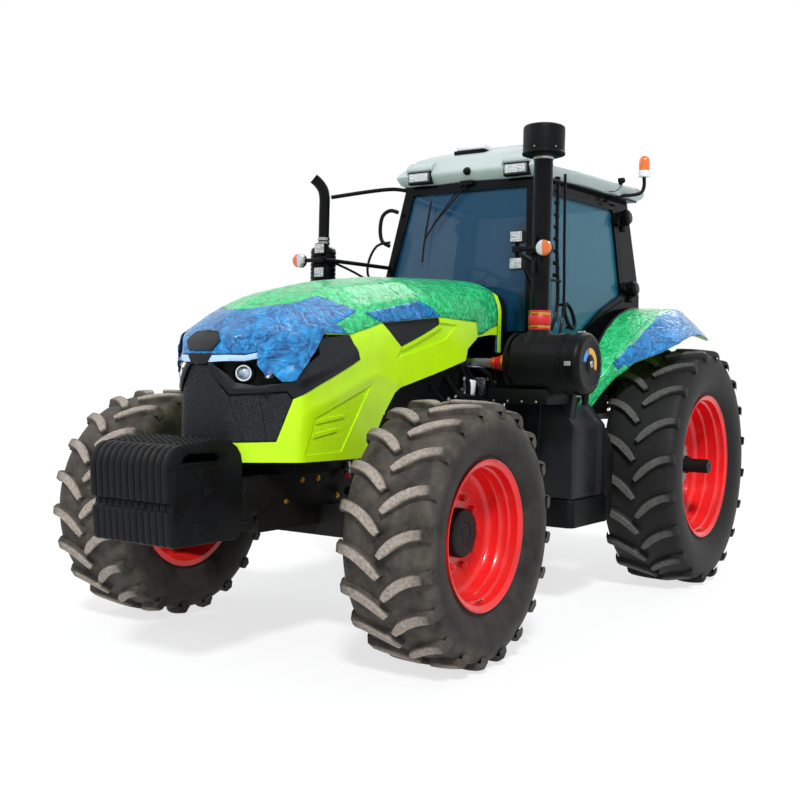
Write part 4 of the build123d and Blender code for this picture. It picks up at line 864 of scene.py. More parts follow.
def lug_pair(name, tip, half, finish):
    """One lug of each half of a tread, as raised bars that widen to their roots."""
    sizes = bpy.context.scene.tractor_tyres
    height, width = sizes.lug_height, sizes.lug_width
    pitch = 2 * math.pi * tip / sizes.lug_count
    lead = -pitch * 0.33 - width / 2
    verts, faces = [], []
    for side in (1, -1):
        start = len(verts)
        line = [(share * half, lead + ahead * pitch + width / 2) for share, ahead, _ in LUG_LINE]
        for k, (y, s) in enumerate(line):
            before, after = line[max(k - 1, 0)], line[min(k + 1, len(line) - 1)]
            run = Vector((after[0] - before[0], after[1] - before[1]))
            if k > 6:
                run = Vector((1, 0.1))
            run.normalize()
            across = Vector((-run.y, run.x))
            face_r = tip - 0.0003 - LUG_LINE[k][2] * MM
            root_r = min(tip - height - 0.010, face_r - 0.012)
            nose = {0: 0.55, 1: 0.85}.get(k, 1.0)
            top = width * 0.48 * nose
            foot = width * 0.72 * nose
            back = -0.010 if k == 0 else 0.0
            for offset, radius, shift in ((-foot, root_r, back), (-top - 0.003, face_r - 0.007, back / 3),
                                          (-top + 0.003, face_r, 0), (top - 0.003, face_r, 0),
                                          (top + 0.003, face_r - 0.007, back / 3), (foot, root_r, back)):
                place_y = min(y + across.x * offset + shift, half)
                angle = (s + across.y * offset) / tip
                verts.append((radius * math.cos(angle), side * place_y, radius * math.sin(angle)))
        for k in range(len(line) - 1):
            for c in range(5):
                a = start + k * 6 + c
                faces.append((a, a + 1, a + 7, a + 6))
        faces.append(tuple(start + c for c in range(6)))
        faces.append(tuple(start + (len(line) - 1) * 6 + c for c in range(6)))
        if side < 0:
            turn = Matrix.Rotation(math.pi / sizes.lug_count, 4, "Y")
            for k in range(start, len(verts)):
                verts[k] = tuple(turn @ Vector(verts[k]))
    obj = mesh_object(name, verts, faces, finish, smooth_angle=30)
    obj.data.transform(Matrix.Rotation(math.pi / 2, 4, "Y"))
    return obj


def build_tyre(end, side):
    sizes = bpy.context.scene.tractor_tyres
    node = f"{end}_tyre_{side}"
    axle = FRONT_AXLE if end == "front" else REAR_AXLE
    centre = Vector((axle.x, middle_of(node).y, axle.z))
    tip = sizes.front_radius if end == "front" else sizes.rear_radius
    half = sizes.front_half if end == "front" else sizes.rear_half
    flange_low, flange_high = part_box(f"{end}_rim_{side}")
    flange = (flange_high.z - flange_low.z) / 2
    lip = (flange_high.y - flange_low.y) / 2
    bead = flange + 0.014
    tread = tip - sizes.lug_height
    outer = [((lip - 0.0145) / MM, bead / MM)]
    for share, rise in WALL_LINE[1:]:
        outer.append((share * half / MM, (bead + (tread - bead) * rise) / MM))
    seat = flange - 0.0235
    inside = [((lip - 0.0145) / MM, seat / MM), ((lip - 0.0145) / MM, (flange + 0.002) / MM)]
    right = inside + outer
    left = [(-along, radius) for along, radius in right[-2::-1]]
    carcass = lathe(f"{end}_carcass_{side}", right + left, centre, LEFT, 96, end + "_rubber", 40)
    placed(carcass, f"{end}_wheel_{side}", "tyre_rubber", node)
    lugs = lug_pair(f"{end}_lugs_{side}", tip, half, end + "_rubber")
    repeated(lugs, end + "_rubber", sizes.lug_count, turn=(0, 2 * math.pi / sizes.lug_count, 0),
             centre=centre, smooth_angle=30)
    placed(lugs, f"{end}_wheel_{side}", "tyre_rubber")


class BuildTyres(bpy.types.Operator):
    """Carcasses with curved, staggered lugs"""
    bl_idname = "tractor.tyres"
    bl_label = "Tyres"

    def execute(self, context):
        for end in ("front", "rear"):
            for side in ("left", "right"):
                build_tyre(end, side)
        return {"FINISHED"}


# ---------------------------------------------------------------- wheels

# visible side of a rim: outward from the tyre centre as a share of the flange, inward from
# the flange edge in millimetres
FRONT_STEPS = [(1.0, 0), (1.0, 5), (0.975, 10), (0.955, 24), (0.93, 34), (0.80, 37), (0.74, 41), (0.70, 52),
               (0.52, 58), (0.47, 66), (0.30, 69), (0.22, 78), (0.17, 98), (0.155, 120)]
REAR_STEPS = [(1.0, 0), (1.0, 5), (0.975, 10), (0.955, 24), (0.93, 34), (0.80, 37), (0.74, 41), (0.70, 54),
              (0.40, 60), (0.34, 70), (0.05, 74), (-0.02, 86), (-0.07, 110), (-0.084, 140)]
# by end: steps, outside of the hub, place of the disc, its bore, circle of the nuts, nuts and their finish
RIM_SIZES = {
    "front": (FRONT_STEPS, 162, 35, 101, 0.190, 10, "red"),
    "rear": (REAR_STEPS, 302, -20, 195, 0.245, 12, "steel"),
}


def build_rim(end, side):
    node = f"{end}_rim_{side}"
    low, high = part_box(node)
    outward = 1 if side == "left" else -1
    axle = FRONT_AXLE if end == "front" else REAR_AXLE
    centre = Vector((axle.x, (low.y + high.y) / 2, axle.z))
    flange = (high.z - low.z) / 2 / MM
    lip = (high.y - low.y) / 2 / MM
    steps, hub_r, disc, bore, bolt_r, count, nut_finish = RIM_SIZES[end]
    visible = [(share * lip, flange - inward) for share, inward in steps]
    visible += [(disc, flange - steps[-1][1] - 40), (disc, hub_r + 60), (disc - 3, hub_r + 35),
                (disc - 3, bore)]
    behind = [(disc - 15.5, bore), (disc - 15.5, flange - 60), (disc - 30, flange - 38),
              (-lip + 20, flange - 36), (-lip, flange - 34), (-lip, flange), (-lip + 13.5, flange),
              (-lip + 14, flange - 24.4), (lip - 14, flange - 24.4), (lip - 13.5, flange)]
    profile = [(along * outward, radius) for along, radius in visible + behind]
    rim = lathe(f"{end}_wheel_disc_{side}", profile, centre, LEFT, 72, "red", 28)
    placed(rim, f"{end}_wheel_{side}", "rim_red", node)

    face = disc * MM * outward
    outline = [(0, 0), (0, 21), (4, 21), (4, 17), (19, 17), (22, 14), (22, 9), (30, 9), (31, 7), (31, 0)]
    nut = lathe(f"{end}_nuts_{side}", outline, (bolt_r, face, 0), (0, outward, 0), 12, "steel")
    repeated(nut, nut_finish, count, turn=(0, 2 * math.pi / count, 0), centre=centre)
    placed(nut, f"{end}_wheel_{side}", "steel")
    valve = tube(f"{end}_valve_{side}",
                 [centre + Vector((0.0, outward * (lip - 62) * MM, -(flange - 44) * MM)),
                  centre + Vector((0.0, outward * (lip - 40) * MM, -(flange - 50) * MM)),
                  centre + Vector((0.0, outward * (lip - 18) * MM, -(flange - 66) * MM))], 5.5, "steel",
                 sides=10)
    placed(valve, f"{end}_wheel_{side}", "steel")


def build_front_hub(side):
    node = f"front_hub_{side}"
    low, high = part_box(node)
    outward = 1 if side == "left" else -1
    out = (high.y if side == "left" else -low.y)
    centre = Vector((FRONT_AXLE.x, middle_of(f"front_rim_{side}").y, FRONT_AXLE.z))
    cap_out = (out - abs(centre.y)) / MM
    profile = [(cap_out - 2, 0), (cap_out - 2, 28), (cap_out - 7, 34), (cap_out - 7, 58), (cap_out - 1, 66),
               (cap_out - 1, 118), (cap_out - 6, 128), (cap_out - 16, 133), (32, 135), (32, 100), (20, 100),
               (20, 158), (-90, 158), (-98, 150), (-98, 101), (15, 101), (15, 0)]
    hub = lathe(f"front_planetary_{side}", [(a * outward, r) for a, r in profile], centre, LEFT, 48,
                "black_metal", 30)
    placed(hub, f"front_wheel_{side}", "black_metal", node)
    stud = lathe(f"front_hub_bolts_{side}", [(0, 0), (0, 9), (6, 9), (7, 8), (7, 0)],
                 (0.092, outward * (cap_out - 7.5) * MM, 0), (0, outward, 0), 6, "black_metal")
    repeated(stud, "cast_black", 9, turn=(0, 2 * math.pi / 9, 0), centre=centre)
    placed(stud, f"front_wheel_{side}", "black_metal")


def build_rear_hub(side):
    node = f"rear_hub_{side}"
    low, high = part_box(node)
    outward = 1 if side == "left" else -1
    centre = Vector((REAR_AXLE.x, middle_of(f"rear_rim_{side}").y, REAR_AXLE.z))
    out = (high.y if side == "left" else -low.y) / MM - abs(centre.y) / MM
    ring = [(-37, 196), (-37, 299), (-41, 300), (-60, 300), (-64, 297), (-66, 290), (-66, 120), (-95, 110),
            (-95, 56), (44, 56), (44, 130), (38, 150), (30, 186), (12, 192), (-30, 192)]
    hub = lathe(f"rear_hub_casting_{side}", [(a * outward, r) for a, r in ring], centre, LEFT, 56,
                "hub_grey", 30)
    bar = lathe(f"rear_axle_bar_{side}",
                [((-429.5) * outward, 0), (-429.5 * outward, 54), ((out - 5) * outward, 54.6),
                 ((out - 1) * outward, 50), ((out - 1) * outward, 16), ((out - 12) * outward, 12),
                 ((out - 12) * outward, 0)], centre, LEFT, 40, "black_metal", 30)
    placed(hub, f"rear_wheel_{side}", "hub_grey", node)
    placed(bar, f"rear_wheel_{side}", "black_metal")
    corners = [(0.060, -0.07), (0.150, -0.05), (0.150, 0.05), (0.060, 0.07)]
    wedge = prism(f"rear_hub_wedges_{side}", [(x, outward * 0.046, z) for x, z in corners], (0, outward, 0),
                  0.030, "cast_black", 4)
    repeated(wedge, "cast_black", 2, turn=(0, math.pi, 0), centre=centre)
    placed(wedge, f"rear_wheel_{side}", "black_metal")


class BuildWheels(bpy.types.Operator):
    """Stepped rims, hubs and their nuts"""
    bl_idname = "tractor.wheels"
    bl_label = "Wheels"

    def execute(self, context):
        for side in ("left", "right"):
            for end in ("front", "rear"):
                build_rim(end, side)
            build_front_hub(side)
            build_rear_hub(side)
        return {"FINISHED"}


# ---------------------------------------------------------------- hood

# cross sections: ahead of the rear axle, crown, crest y and z, shoulder y and z, side y
HOOD_SECTIONS = np.array([
    (1690, 2262, 280, 2235, 425, 2160, 460),
    (2600, 2200, 260, 2170, 425, 2060, 465),
    (3200, 2120, 240, 2090, 420, 1960, 462),
    (3600, 2030, 220, 2000, 415, 1850, 455),
    (3950, 1870, 200, 1845, 395, 1700, 430),
    (4160, 1700, 180, 1690, 330, 1640, 350),
], float)
# plan of the nose: ahead of the rear axle, y
NOSE_PLAN = [(4145, 0), (4115, 150), (4035, 235), (3910, 350), (3780, 470)]
# lean of the nose: height, ahead of the rear axle
NOSE_LEAN = np.array([(1080, 4075), (1190, 4083), (1640, 4140), (1790, 4076), (2400, 4000)], float)
HOOD_CENTRE = (3550, 1500)    # the surface is drawn outward from an axle line that ends here
HOOD_LIFT = 0.5               # metres of sheet for each radian over the top
HOOD_LOW = 1.080
HOOD_REAR = 1690


def soft_max(values, radius):
    """The largest of several distances, with the crease between them rounded."""
    top = np.max(values, axis=0)
    return top + radius * np.log(np.sum(np.exp((values - top) / radius), axis=0))


def hood_outside(points):
    """How far points lie outside the hood's form, in metres."""
    ahead = (points[:, 0] - REAR_AXLE.x) / MM
    y, z = np.abs(points[:, 1]) / MM, points[:, 2] / MM
    row = []
    for column in range(1, 7):
        row.append(sum(np.interp(ahead + d, HOOD_SECTIONS[:, 0], HOOD_SECTIONS[:, column])
                       for d in (-120, -60, 0, 60, 120)) / 5)
    crown, crest_y, crest_z, shoulder_y, shoulder_z, side_y = row
    corners = [(side_y, 0 * y), (side_y, shoulder_z - 130), (shoulder_y, shoulder_z), (crest_y, crest_z),
               (0 * y, crown)]
    sides = []
    for (y0, z0), (y1, z1) in zip(corners, corners[1:]):
        length = np.hypot(y1 - y0, z1 - z0)
        sides.append(((z1 - z0) * (y - y0) - (y1 - y0) * (z - z0)) / length)
    nose = []
    for (x0, y0), (x1, y1) in zip(NOSE_PLAN, NOSE_PLAN[1:]):
        length = math.hypot(x1 - x0, y1 - y0)
        nose.append(((y1 - y0) * (ahead - x0) - (x1 - x0) * (y - y0)) / length)
    lean = sum(np.interp(z + d, NOSE_LEAN[:, 0], NOSE_LEAN[:, 1]) for d in (-30, 0, 30)) / 3
    return soft_max(np.array([*sides, *nose, ahead - lean]), 9.0) * MM


def cast(starts, ways, outside, reach=1.4, steps=26):
    """Where rays leave a form, by halving."""
    low, high = np.zeros(len(starts)), np.full(len(starts), reach)
    for _ in range(steps):
        middle = (low + high) / 2
        inside = outside(starts + ways * middle[:, None]) < 0
        low, high = np.where(inside, middle, low), np.where(inside, high, middle)
    return starts + ways * low[:, None]


def outward(points, outside, reach=0.004):
    """Unit normals of a form at points on it."""
    slope = []
    for axis in range(3):
        step = np.zeros(3)
        step[axis] = reach
        slope.append(outside(points + step) - outside(points - step))
    slope = np.array(slope).T
    return slope / np.linalg.norm(slope, axis=1)[:, None]


class HoodSheet:
    """A flat sheet wrapped on the hood: along it from the nose's middle, and up it as height then arc."""

    def __init__(self):
        self.start = np.array([rear(HOOD_CENTRE[0]), 0, HOOD_CENTRE[1] * MM])
        turns = np.linspace(0, math.pi / 2, 91)
        ways = np.array([np.sin(turns), np.cos(turns), np.zeros(91)]).T
        rim = cast(np.repeat(self.start[None, :], 91, 0), ways, hood_outside)
        steps = np.linalg.norm(np.diff(rim, axis=0), axis=1)
        arc = np.concatenate([[0], np.cumsum(steps)])
        self.turns, self.arcs = turns[::-1], (arc[-1] - arc)[::-1]
        self.nose = arc[-1]
        self.length = self.nose + self.start[0] - rear(HOOD_REAR)
        self.top = self.start[2] + HOOD_LIFT * math.pi / 2

    def on_sheet(self, place):
        """Sheet place of a point given ahead of the rear axle, y and z in millimetres."""
        x, y, z = rear(place[0]), place[1] * MM, place[2] * MM
        beyond = max(x - self.start[0], 0.0)
        if beyond:
            turn = math.atan2(beyond, abs(y))
            along = float(np.interp(math.pi / 2 - turn, math.pi / 2 - self.turns, self.arcs))
        else:
            along = self.nose + self.start[0] - x
        up = z
        if z > self.start[2]:
            up = self.start[2] + HOOD_LIFT * math.atan2(z - self.start[2], math.hypot(beyond, y))
        return (along if y >= 0 else -along, up)

    def wrap(self, flat):
        """3-D places of sheet places."""
        along, up = np.abs(flat[:, 0]), flat[:, 1]
        side = np.where(flat[:, 0] >= 0, 1.0, -1.0)
        turn = np.interp(along, self.arcs, self.turns)
        turn = np.where(along >= self.nose, 0.0, turn)
        starts = np.repeat(self.start[None, :], len(flat), 0)
        starts[:, 0] -= np.maximum(along - self.nose, 0)
        starts[:, 2] = np.minimum(up, self.start[2])
        rise = np.maximum(up - self.start[2], 0) / HOOD_LIFT
        ways = np.array([np.cos(rise) * np.sin(turn), side * np.cos(rise) * np.cos(turn), np.sin(rise)]).T
        return cast(starts, ways, hood_outside)


SHEET = HoodSheet()


def flat(places):
    """Places on the sheet of places on the hood."""
    return [SHEET.on_sheet(place) for place in places]


def inside_outline(point, outline):
    x, y = point
    inside = False
    for (x0, y0), (x1, y1) in zip(outline, outline[1:] + outline[:1]):
        if (y0 > y) != (y1 > y) and x < x0 + (y - y0) * (x1 - x0) / (y1 - y0):
            inside = not inside
    return inside


def distance_to_line(point, line):
    best = 1e9
    p = Vector(point)
    for a, b in zip(line, line[1:]):
        a, b = Vector(a), Vector(b)
        run = b - a
        share = min(max((p - a).dot(run) / run.length_squared, 0), 1)
        best = min(best, (p - a - run * share).length)
    return best


def cut_sheet(outlines, holes, spacing):
    """A flat grid cut along outlines, without its holes: its points and faces."""
    corners = [p for outline in outlines for p in outline]
    low = [min(p[k] for p in corners) - spacing / 3 for k in (0, 1)]
    high = [max(p[k] for p in corners) + spacing / 3 for k in (0, 1)]
    count = [max(int((high[k] - low[k]) / spacing), 2) for k in (0, 1)]
    bm = bmesh.new()
    verts = []
    for i in range(count[0] + 1):
        column = []
        for j in range(count[1] + 1):
            column.append(bm.verts.new((low[0] + (high[0] - low[0]) * i / count[0],
                                        low[1] + (high[1] - low[1]) * j / count[1], 0)))
        verts.append(column)
    for i in range(count[0]):
        for j in range(count[1]):
            bm.faces.new((verts[i][j], verts[i + 1][j], verts[i + 1][j + 1], verts[i][j + 1]))
    for outline in [*outlines, *holes]:
        for a, b in zip(outline, outline[1:] + outline[:1]):
            box_low = (min(a[0], b[0]) - 1e-4, min(a[1], b[1]) - 1e-4)
            box_high = (max(a[0], b[0]) + 1e-4, max(a[1], b[1]) + 1e-4)
            near = []
            for face in bm.faces:
                xs = [v.co.x for v in face.verts]
                ys = [v.co.y for v in face.verts]
                if max(xs) >= box_low[0] and min(xs) <= box_high[0]:
                    if max(ys) >= box_low[1] and min(ys) <= box_high[1]:
                        near.append(face)
            geom = list({*near, *(e for f in near for e in f.edges), *(v for f in near for v in f.verts)})
            normal = Vector((b[1] - a[1], a[0] - b[0], 0))
            if geom and normal.length > 1e-9:
                bmesh.ops.bisect_plane(bm, geom=geom, dist=1e-6, plane_co=(*a, 0),
                                       plane_no=normal.normalized())
    unwanted = []
    for face in bm.faces:
        middle = face.calc_center_median()[:2]
        wanted = any(inside_outline(middle, o) for o in outlines)
        if not wanted or any(inside_outline(middle, h) for h in holes):
            unwanted.append(face)
    bmesh.ops.delete(bm, geom=unwanted, context="FACES")
    bm.verts.index_update()
    flat = np.array([v.co[:2] for v in bm.verts]).reshape(-1, 2)
    faces = [[v.index for v in f.verts] for f in bm.faces]
    bm.free()
    return flat, faces


def both_sides(line):
    """A half outline from the middle of the nose, closed through its mirror image."""
    return line + [(-x, y) for x, y in reversed(line)]


def mirrored(outline):
    return [(-x, y) for x, y in outline]


def pair(outline):
    """An outline and its mirror image."""
    return [outline, mirrored(outline)]


def skin_piece(name, outlines, holes, finish, spacing=26.0, raise_mm=0.0, thick_mm=6.0,
               bevel_mm=1.5, gap_mm=1.2, ridges=(), wrinkle_mm=0.0, seed=0.0, smooth_angle=35.0):
    """A panel on the hood: cut to outlines, lifted off it, creased along ridges and given thickness."""
    flat, faces = cut_sheet(outlines, holes, spacing * MM)
    places = SHEET.wrap(flat)
    normals = outward(places, hood_outside)
    lift = np.full(len(flat), raise_mm * MM)
    for line, height, reach in ridges:
        for k, point in enumerate(flat):
            near = distance_to_line((abs(point[0]), point[1]), line) / (reach * MM)
            if near < 1:
                lift[k] += height * MM * (1 - near)
    if wrinkle_mm:
        for k, place in enumerate(places):
            p = Vector(place) + Vector((seed, 0, seed))
            wave = noise.fractal(p * 9, 0.9, 2.1, 4) + 0.7 * abs(noise.noise(Vector((p.x * 30 + p.z * 12,
                                                                                    p.y * 9, p.z * 22))))
            lift[k] += wrinkle_mm * MM * max(wave, -0.6)
    obj = mesh_object(name, places + normals * lift[:, None], faces, finish, smooth_angle=smooth_angle)
    bm = bmesh.new()
    bm.from_mesh(obj.data)
    if gap_mm:
        ring = bmesh.ops.inset_region(bm, faces=bm.faces[:], thickness=gap_mm * MM, use_even_offset=False,
                                      use_boundary=True)
        bmesh.ops.delete(bm, geom=ring["faces"], context="FACES")
    bm.normal_update()
    sample = max(bm.faces, key=lambda face: face.calc_area())
    guide = outward(np.array([sample.calc_center_median()[:]]), hood_outside)[0]
    if sample.normal.dot(Vector(guide)) < 0:
        bmesh.ops.reverse_faces(bm, faces=bm.faces)
    bm.to_mesh(obj.data)
    bm.free()
    if thick_mm:
        thicken(obj, thick_mm, bevel_mm, 2, smooth_angle)
    return obj


# places on the hood: ahead of the rear axle, y, height
STRIP_LOW = [(4145, 0, 1610), (4126, 93, 1611), (4039, 231, 1621), (3994, 273, 1635), (3848, 393, 1678),
             (3650, 450, 1770)]
STRIP_HIGH = [(4145, 0, 1648), (4121, 121, 1650), (4039, 231, 1655), (3994, 273, 1670), (3848, 393, 1716),
              (3640, 450, 1796)]
LAMP_WELL = [(4126, 93, 1603), (4097, 169, 1545), (4071, 196, 1506), (3992, 275, 1491), (3887, 366, 1506),
             (3803, 424, 1584), (3671, 447, 1668), (3690, 447, 1745), (3848, 393, 1672), (3994, 273, 1629),
             (4039, 231, 1616)]
BEZEL_RIM = [(4132, 52, 1604), (4128, 70, 1590), (4096, 172, 1440), (3865, 381, 1462), (3838, 404, 1424),
             (3310, 459, 1650), (3410, 459, 1790), (3640, 450, 1772), (3848, 393, 1674), (3994, 273, 1631),
             (4039, 231, 1617), (4126, 93, 1607)]
BEZEL_RIDGE = [(4128, 83, 1582), (4084, 183, 1474), (3945, 317, 1478), (3823, 410, 1522), (3490, 457, 1640),
               (3360, 459, 1690)]
GRILLE_RIM = [(4145, 0, 1596), (4134, 60, 1596), (4096, 168, 1436), (3865, 381, 1458), (3842, 402, 1420),
              (3912, 354, 1192), (4135, 0, 1180)]
GRILLE_SEAMS = [[(4096, 168, 1436), (4040, 228, 1188)], [(3985, 290, 1446), (3950, 320, 1190)]]
NOSE_CAP = [(4085, 0, 1786), (4098, 82, 1784), (4105, 122, 1722), (4126, 84, 1672), (4138, 0, 1672)]
NOSE_STUD = [(4140, 0, 1656), (4128, 92, 1656), (4130, 56, 1602), (4140, 0, 1600)]
FACE_RIM = [(4145, 0, 1660), (4121, 121, 1654), (4039, 231, 1659), (3994, 273, 1674), (3848, 393, 1720),
            (3640, 450, 1798), (3410, 459, 1790), (3310, 459, 1650), (3838, 404, 1424), (3912, 354, 1192),
            (4135, 0, 1180)]
LEG_PANEL = [(3700, 447, 1318), (3202, 460, 1500), (3470, 455, 1128), (3770, 433, 1121)]
LEG_RIDGE = [(3742, 443, 1356), (3146, 460, 1572), (2919, 460, 1512)]
VENT = [(3087, 460, 1878), (2464, 460, 1940), (2446, 460, 1890), (2885, 460, 1731)]
VENT_LEDGE = [(2446, 460, 1888), (2885, 460, 1729), (2939, 460, 1668), (2385, 460, 1800), (2240, 460, 1901),
              (2440, 460, 1905)]
LOWER_EDGE = [(3190, 460, 1076), (3180, 460, 1158), (3065, 460, 1330), (2950, 460, 1459), (2895, 460, 1489),
              (2115, 460, 1672), (2090, 460, 1752), (1960, 460, 1835), (1780, 460, 1859), (1690, 460, 1862)]
FILM_EDGE = [(3600, 452, 1802), (3412, 459, 1792), (3092, 460, 1878), (2780, 460, 1918), (2450, 460, 1944),
             (1985, 460, 1936), (1965, 460, 1850), (1890, 460, 1862), (1800, 460, 1905), (1700, 460, 1930)]
LEG_RIBS = [[(3700, 452, 1306), (3452, 452, 1336), (3446, 452, 1318), (3690, 452, 1286)],
            [(3722, 452, 1232), (3518, 452, 1262), (3512, 452, 1242), (3712, 452, 1210)]]
BLUE_BACK = [(3930, 10, 1985), (3470, 250, 1994), (3300, 440, 1947), (3500, 455, 1868), (3410, 458, 1796)]
BLUE_PATCH = [(3242, 458, 1950), (2670, 455, 2065), (2540, 458, 2012), (2450, 460, 1944), (3092, 460, 1878)]
FILM_FLAP = [(3808, 421, 1862), (3598, 452, 1829), (3664, 447, 1760), (3760, 440, 1640), (3803, 424, 1584),
             (3830, 410, 1520), (3888, 366, 1513), (3935, 328, 1562), (3956, 308, 1542), (3993, 273, 1603),
             (3994, 273, 1700)]


def hood_piece(name, outlines, holes, finish, slot, *nodes, **settings):
    return placed(skin_piece(name, outlines, holes, finish, **settings), "hood_lid", slot, *nodes)


def build_hood_panel():
    """The lime skin, open at the vents, the legs' inlays, the face and the lower edge."""
    length, top = SHEET.length - 0.001, SHEET.top - 0.0005
    whole = [(-length, HOOD_LOW), (length, HOOD_LOW), (length, top), (-length, top)]
    edge = flat(LOWER_EDGE)
    below = edge + [(length + 0.1, edge[-1][1]), (length + 0.1, HOOD_LOW - 0.1),
                    (edge[0][0], HOOD_LOW - 0.1)]
    openings = [flat(VENT), flat(VENT_LEDGE), flat(LEG_PANEL), below]
    holes = [*openings, *[mirrored(outline) for outline in openings], both_sides(flat(FACE_RIM))]
    hood_piece("hood_panel", [whole], holes, "lime", "lime", "hood", spacing=30, thick_mm=9, bevel_mm=3,
               ridges=[(flat(LEG_RIDGE), 9, 34)], smooth_angle=38)


def build_lamp_surround():
    """The headlights' bezels and wells, and the light strip over them."""
    bezel, well = flat(BEZEL_RIM), flat(LAMP_WELL)
    strip_low, strip_high = flat(STRIP_LOW), flat(STRIP_HIGH)
    strip = mirrored(strip_low[::-1]) + strip_low[1:] + strip_high[::-1] + mirrored(strip_high[1:])
    hood_piece("hood_bezels", pair(bezel), pair(well), "grey_plastic", "black_plastic", "headlight_surround",
               spacing=18, raise_mm=4, thick_mm=26, bevel_mm=2.5, ridges=[(flat(BEZEL_RIDGE), 16, 46)],
               smooth_angle=24)
    hood_piece("lamp_wells", pair(well), [], "black_plastic", "black_plastic", spacing=30, raise_mm=-58,
               thick_mm=4, gap_mm=-14, bevel_mm=0)
    hood_piece("light_strip", [strip], [], "light_strip", "roof_grey", spacing=16, raise_mm=10, thick_mm=22,
               bevel_mm=4)


def build_nose():
    """The nose's cap with the stud under it, and the black backing behind the whole face."""
    cap, stud, face = both_sides(flat(NOSE_CAP)), both_sides(flat(NOSE_STUD)), both_sides(flat(FACE_RIM))
    hood_piece("nose_cap", [cap, stud], [], "grey_plastic", "black_plastic", spacing=14, raise_mm=12,
               thick_mm=14, bevel_mm=2, smooth_angle=20)
    hood_piece("face_backing", [face], [], "black_plastic", "black_plastic", spacing=30, raise_mm=-62,
               thick_mm=3, gap_mm=-12, bevel_mm=0)


def headlight(name):
    aim, place = Vector((0.86, 0.5, 0.0)), at(3985, 190, 1556)
    cup = lathe("cup", [(0, 0), (0, 60), (34, 56), (40, 50), (40, 42), (26, 38), (26, 0)], place,
                aim, 32, "black_plastic", 30)
    ring = lathe("ring", [(36, 36), (36, 43), (46, 43), (46, 36)], place, aim, 32, "chrome", 30)
    glass = lathe("glass", [(20, 0), (20, 37), (40, 35), (52, 24), (57, 10), (58, 0)], place, aim, 32,
                  "projector", 40)
    bar = box_piece("bar", at(3900, 285, 1530), at(3946, 322, 1582), "chrome", 5)
    return joined(name, [cup, ring, glass, bar])


def build_grille():
    """The grille's centre, sides and ends, parted by its seams."""
    grille = flat(GRILLE_RIM)
    (seam_top, seam_foot), (end_top, end_foot) = (flat(seam) for seam in GRILLE_SEAMS)
    centre = both_sides([*grille[:3], seam_foot, grille[-1]])
    middle = [seam_top, end_top, end_foot, seam_foot]
    outer = [end_top, *grille[3:6], end_foot]
    for name, outlines, height, nodes in (("grille_centre", [centre], 2, ["grille"]),
                                          ("grille_sides", pair(middle), -2, []),
                                          ("grille_ends", pair(outer), -4, [])):
        hood_piece(name, outlines, [], "mesh", "mesh_black", *nodes, spacing=24, raise_mm=height, thick_mm=5,
                   bevel_mm=1.5)


def build_vents_and_legs():
    """Mesh vents with the ledges under them, and the ribbed inlays of the hood's legs."""
    ribs = [flat(rib) for rib in LEG_RIBS]
    hood_piece("side_vents", pair(flat(VENT)), [], "mesh", "mesh_black", spacing=30, raise_mm=-12, thick_mm=4,
               gap_mm=-8, bevel_mm=0)
    hood_piece("vent_ledges", pair(flat(VENT_LEDGE)), [], "lime", "lime", spacing=24, raise_mm=-9,
               thick_mm=6, gap_mm=-4, bevel_mm=0)
    hood_piece("leg_panels", pair(flat(LEG_PANEL)), [], "lime_mesh", "lime", spacing=24, raise_mm=-6,
               thick_mm=5, gap_mm=-5, bevel_mm=0)
    hood_piece("leg_ribs", [*ribs, *[mirrored(rib) for rib in ribs]], [], "lime_mesh", "lime", spacing=14,
               raise_mm=0, thick_mm=8, gap_mm=1, bevel_mm=2.5)


class BuildHood(bpy.types.Operator):
    """Lime hood panel, dark surround, mesh grille, vents, light strip and lamp wells"""
    bl_idname = "tractor.hood"
    bl_label = "Hood"

    def execute(self, context):
        build_hood_panel()
        build_lamp_surround()
        build_nose()
        both("headlight", headlight, "hood_lid", "chrome_steel")
        build_grille()
        build_vents_and_legs()
        return {"FINISHED"}


class LayFilm(bpy.types.Operator):
    """Wrinkled protective film stuck over the hood's top"""
    bl_idname = "tractor.hood_film"
    bl_label = "Hood film"

    def execute(self, context):
        length, top = SHEET.length - 0.004, SHEET.top - 0.0005
        strip_high = [(x, y + 0.004) for x, y in flat(STRIP_HIGH)]
        edge = flat(FILM_EDGE)
        edge[-1] = (length, edge[-1][1])
        back = flat(BLUE_BACK)
        blue = strip_high + edge[:2] + back[::-1][1:] + [(0, back[0][1])]
        green = edge[1:] + [(length, top), (0, top), (0, back[0][1])] + back[:-1]
        patch = flat(BLUE_PATCH)
        for name, outlines, finish, height, seed in (
                ("film_blue", pair(blue), "blue_film", 3.5, 0.0),
                ("film_green", pair(green), "green_film", 3.0, 4.0),
                ("film_patch", pair(patch), "blue_film", 6.5, 7.0)):
            obj = skin_piece(name, outlines, [], finish, spacing=16,
                             raise_mm=height, thick_mm=0.8, bevel_mm=0, gap_mm=0, wrinkle_mm=2.6, seed=seed,
                             smooth_angle=180)
            placed(obj, "hood_lid", "green_film")
        flap = flat(FILM_FLAP)
        for name, outline, seed in (("film_flap_left", flap, 2.0),
                                    ("film_flap_right", mirrored(flap), 9.0)):
            obj = skin_piece(name, [outline], [], "blue_film", spacing=9,
                             raise_mm=24, thick_mm=0.8, bevel_mm=0, gap_mm=0, wrinkle_mm=12, seed=seed,
                             smooth_angle=180)
            placed(obj, "hood_lid", "green_film")
        return {"FINISHED"}


# ---------------------------------------------------------------- ballast

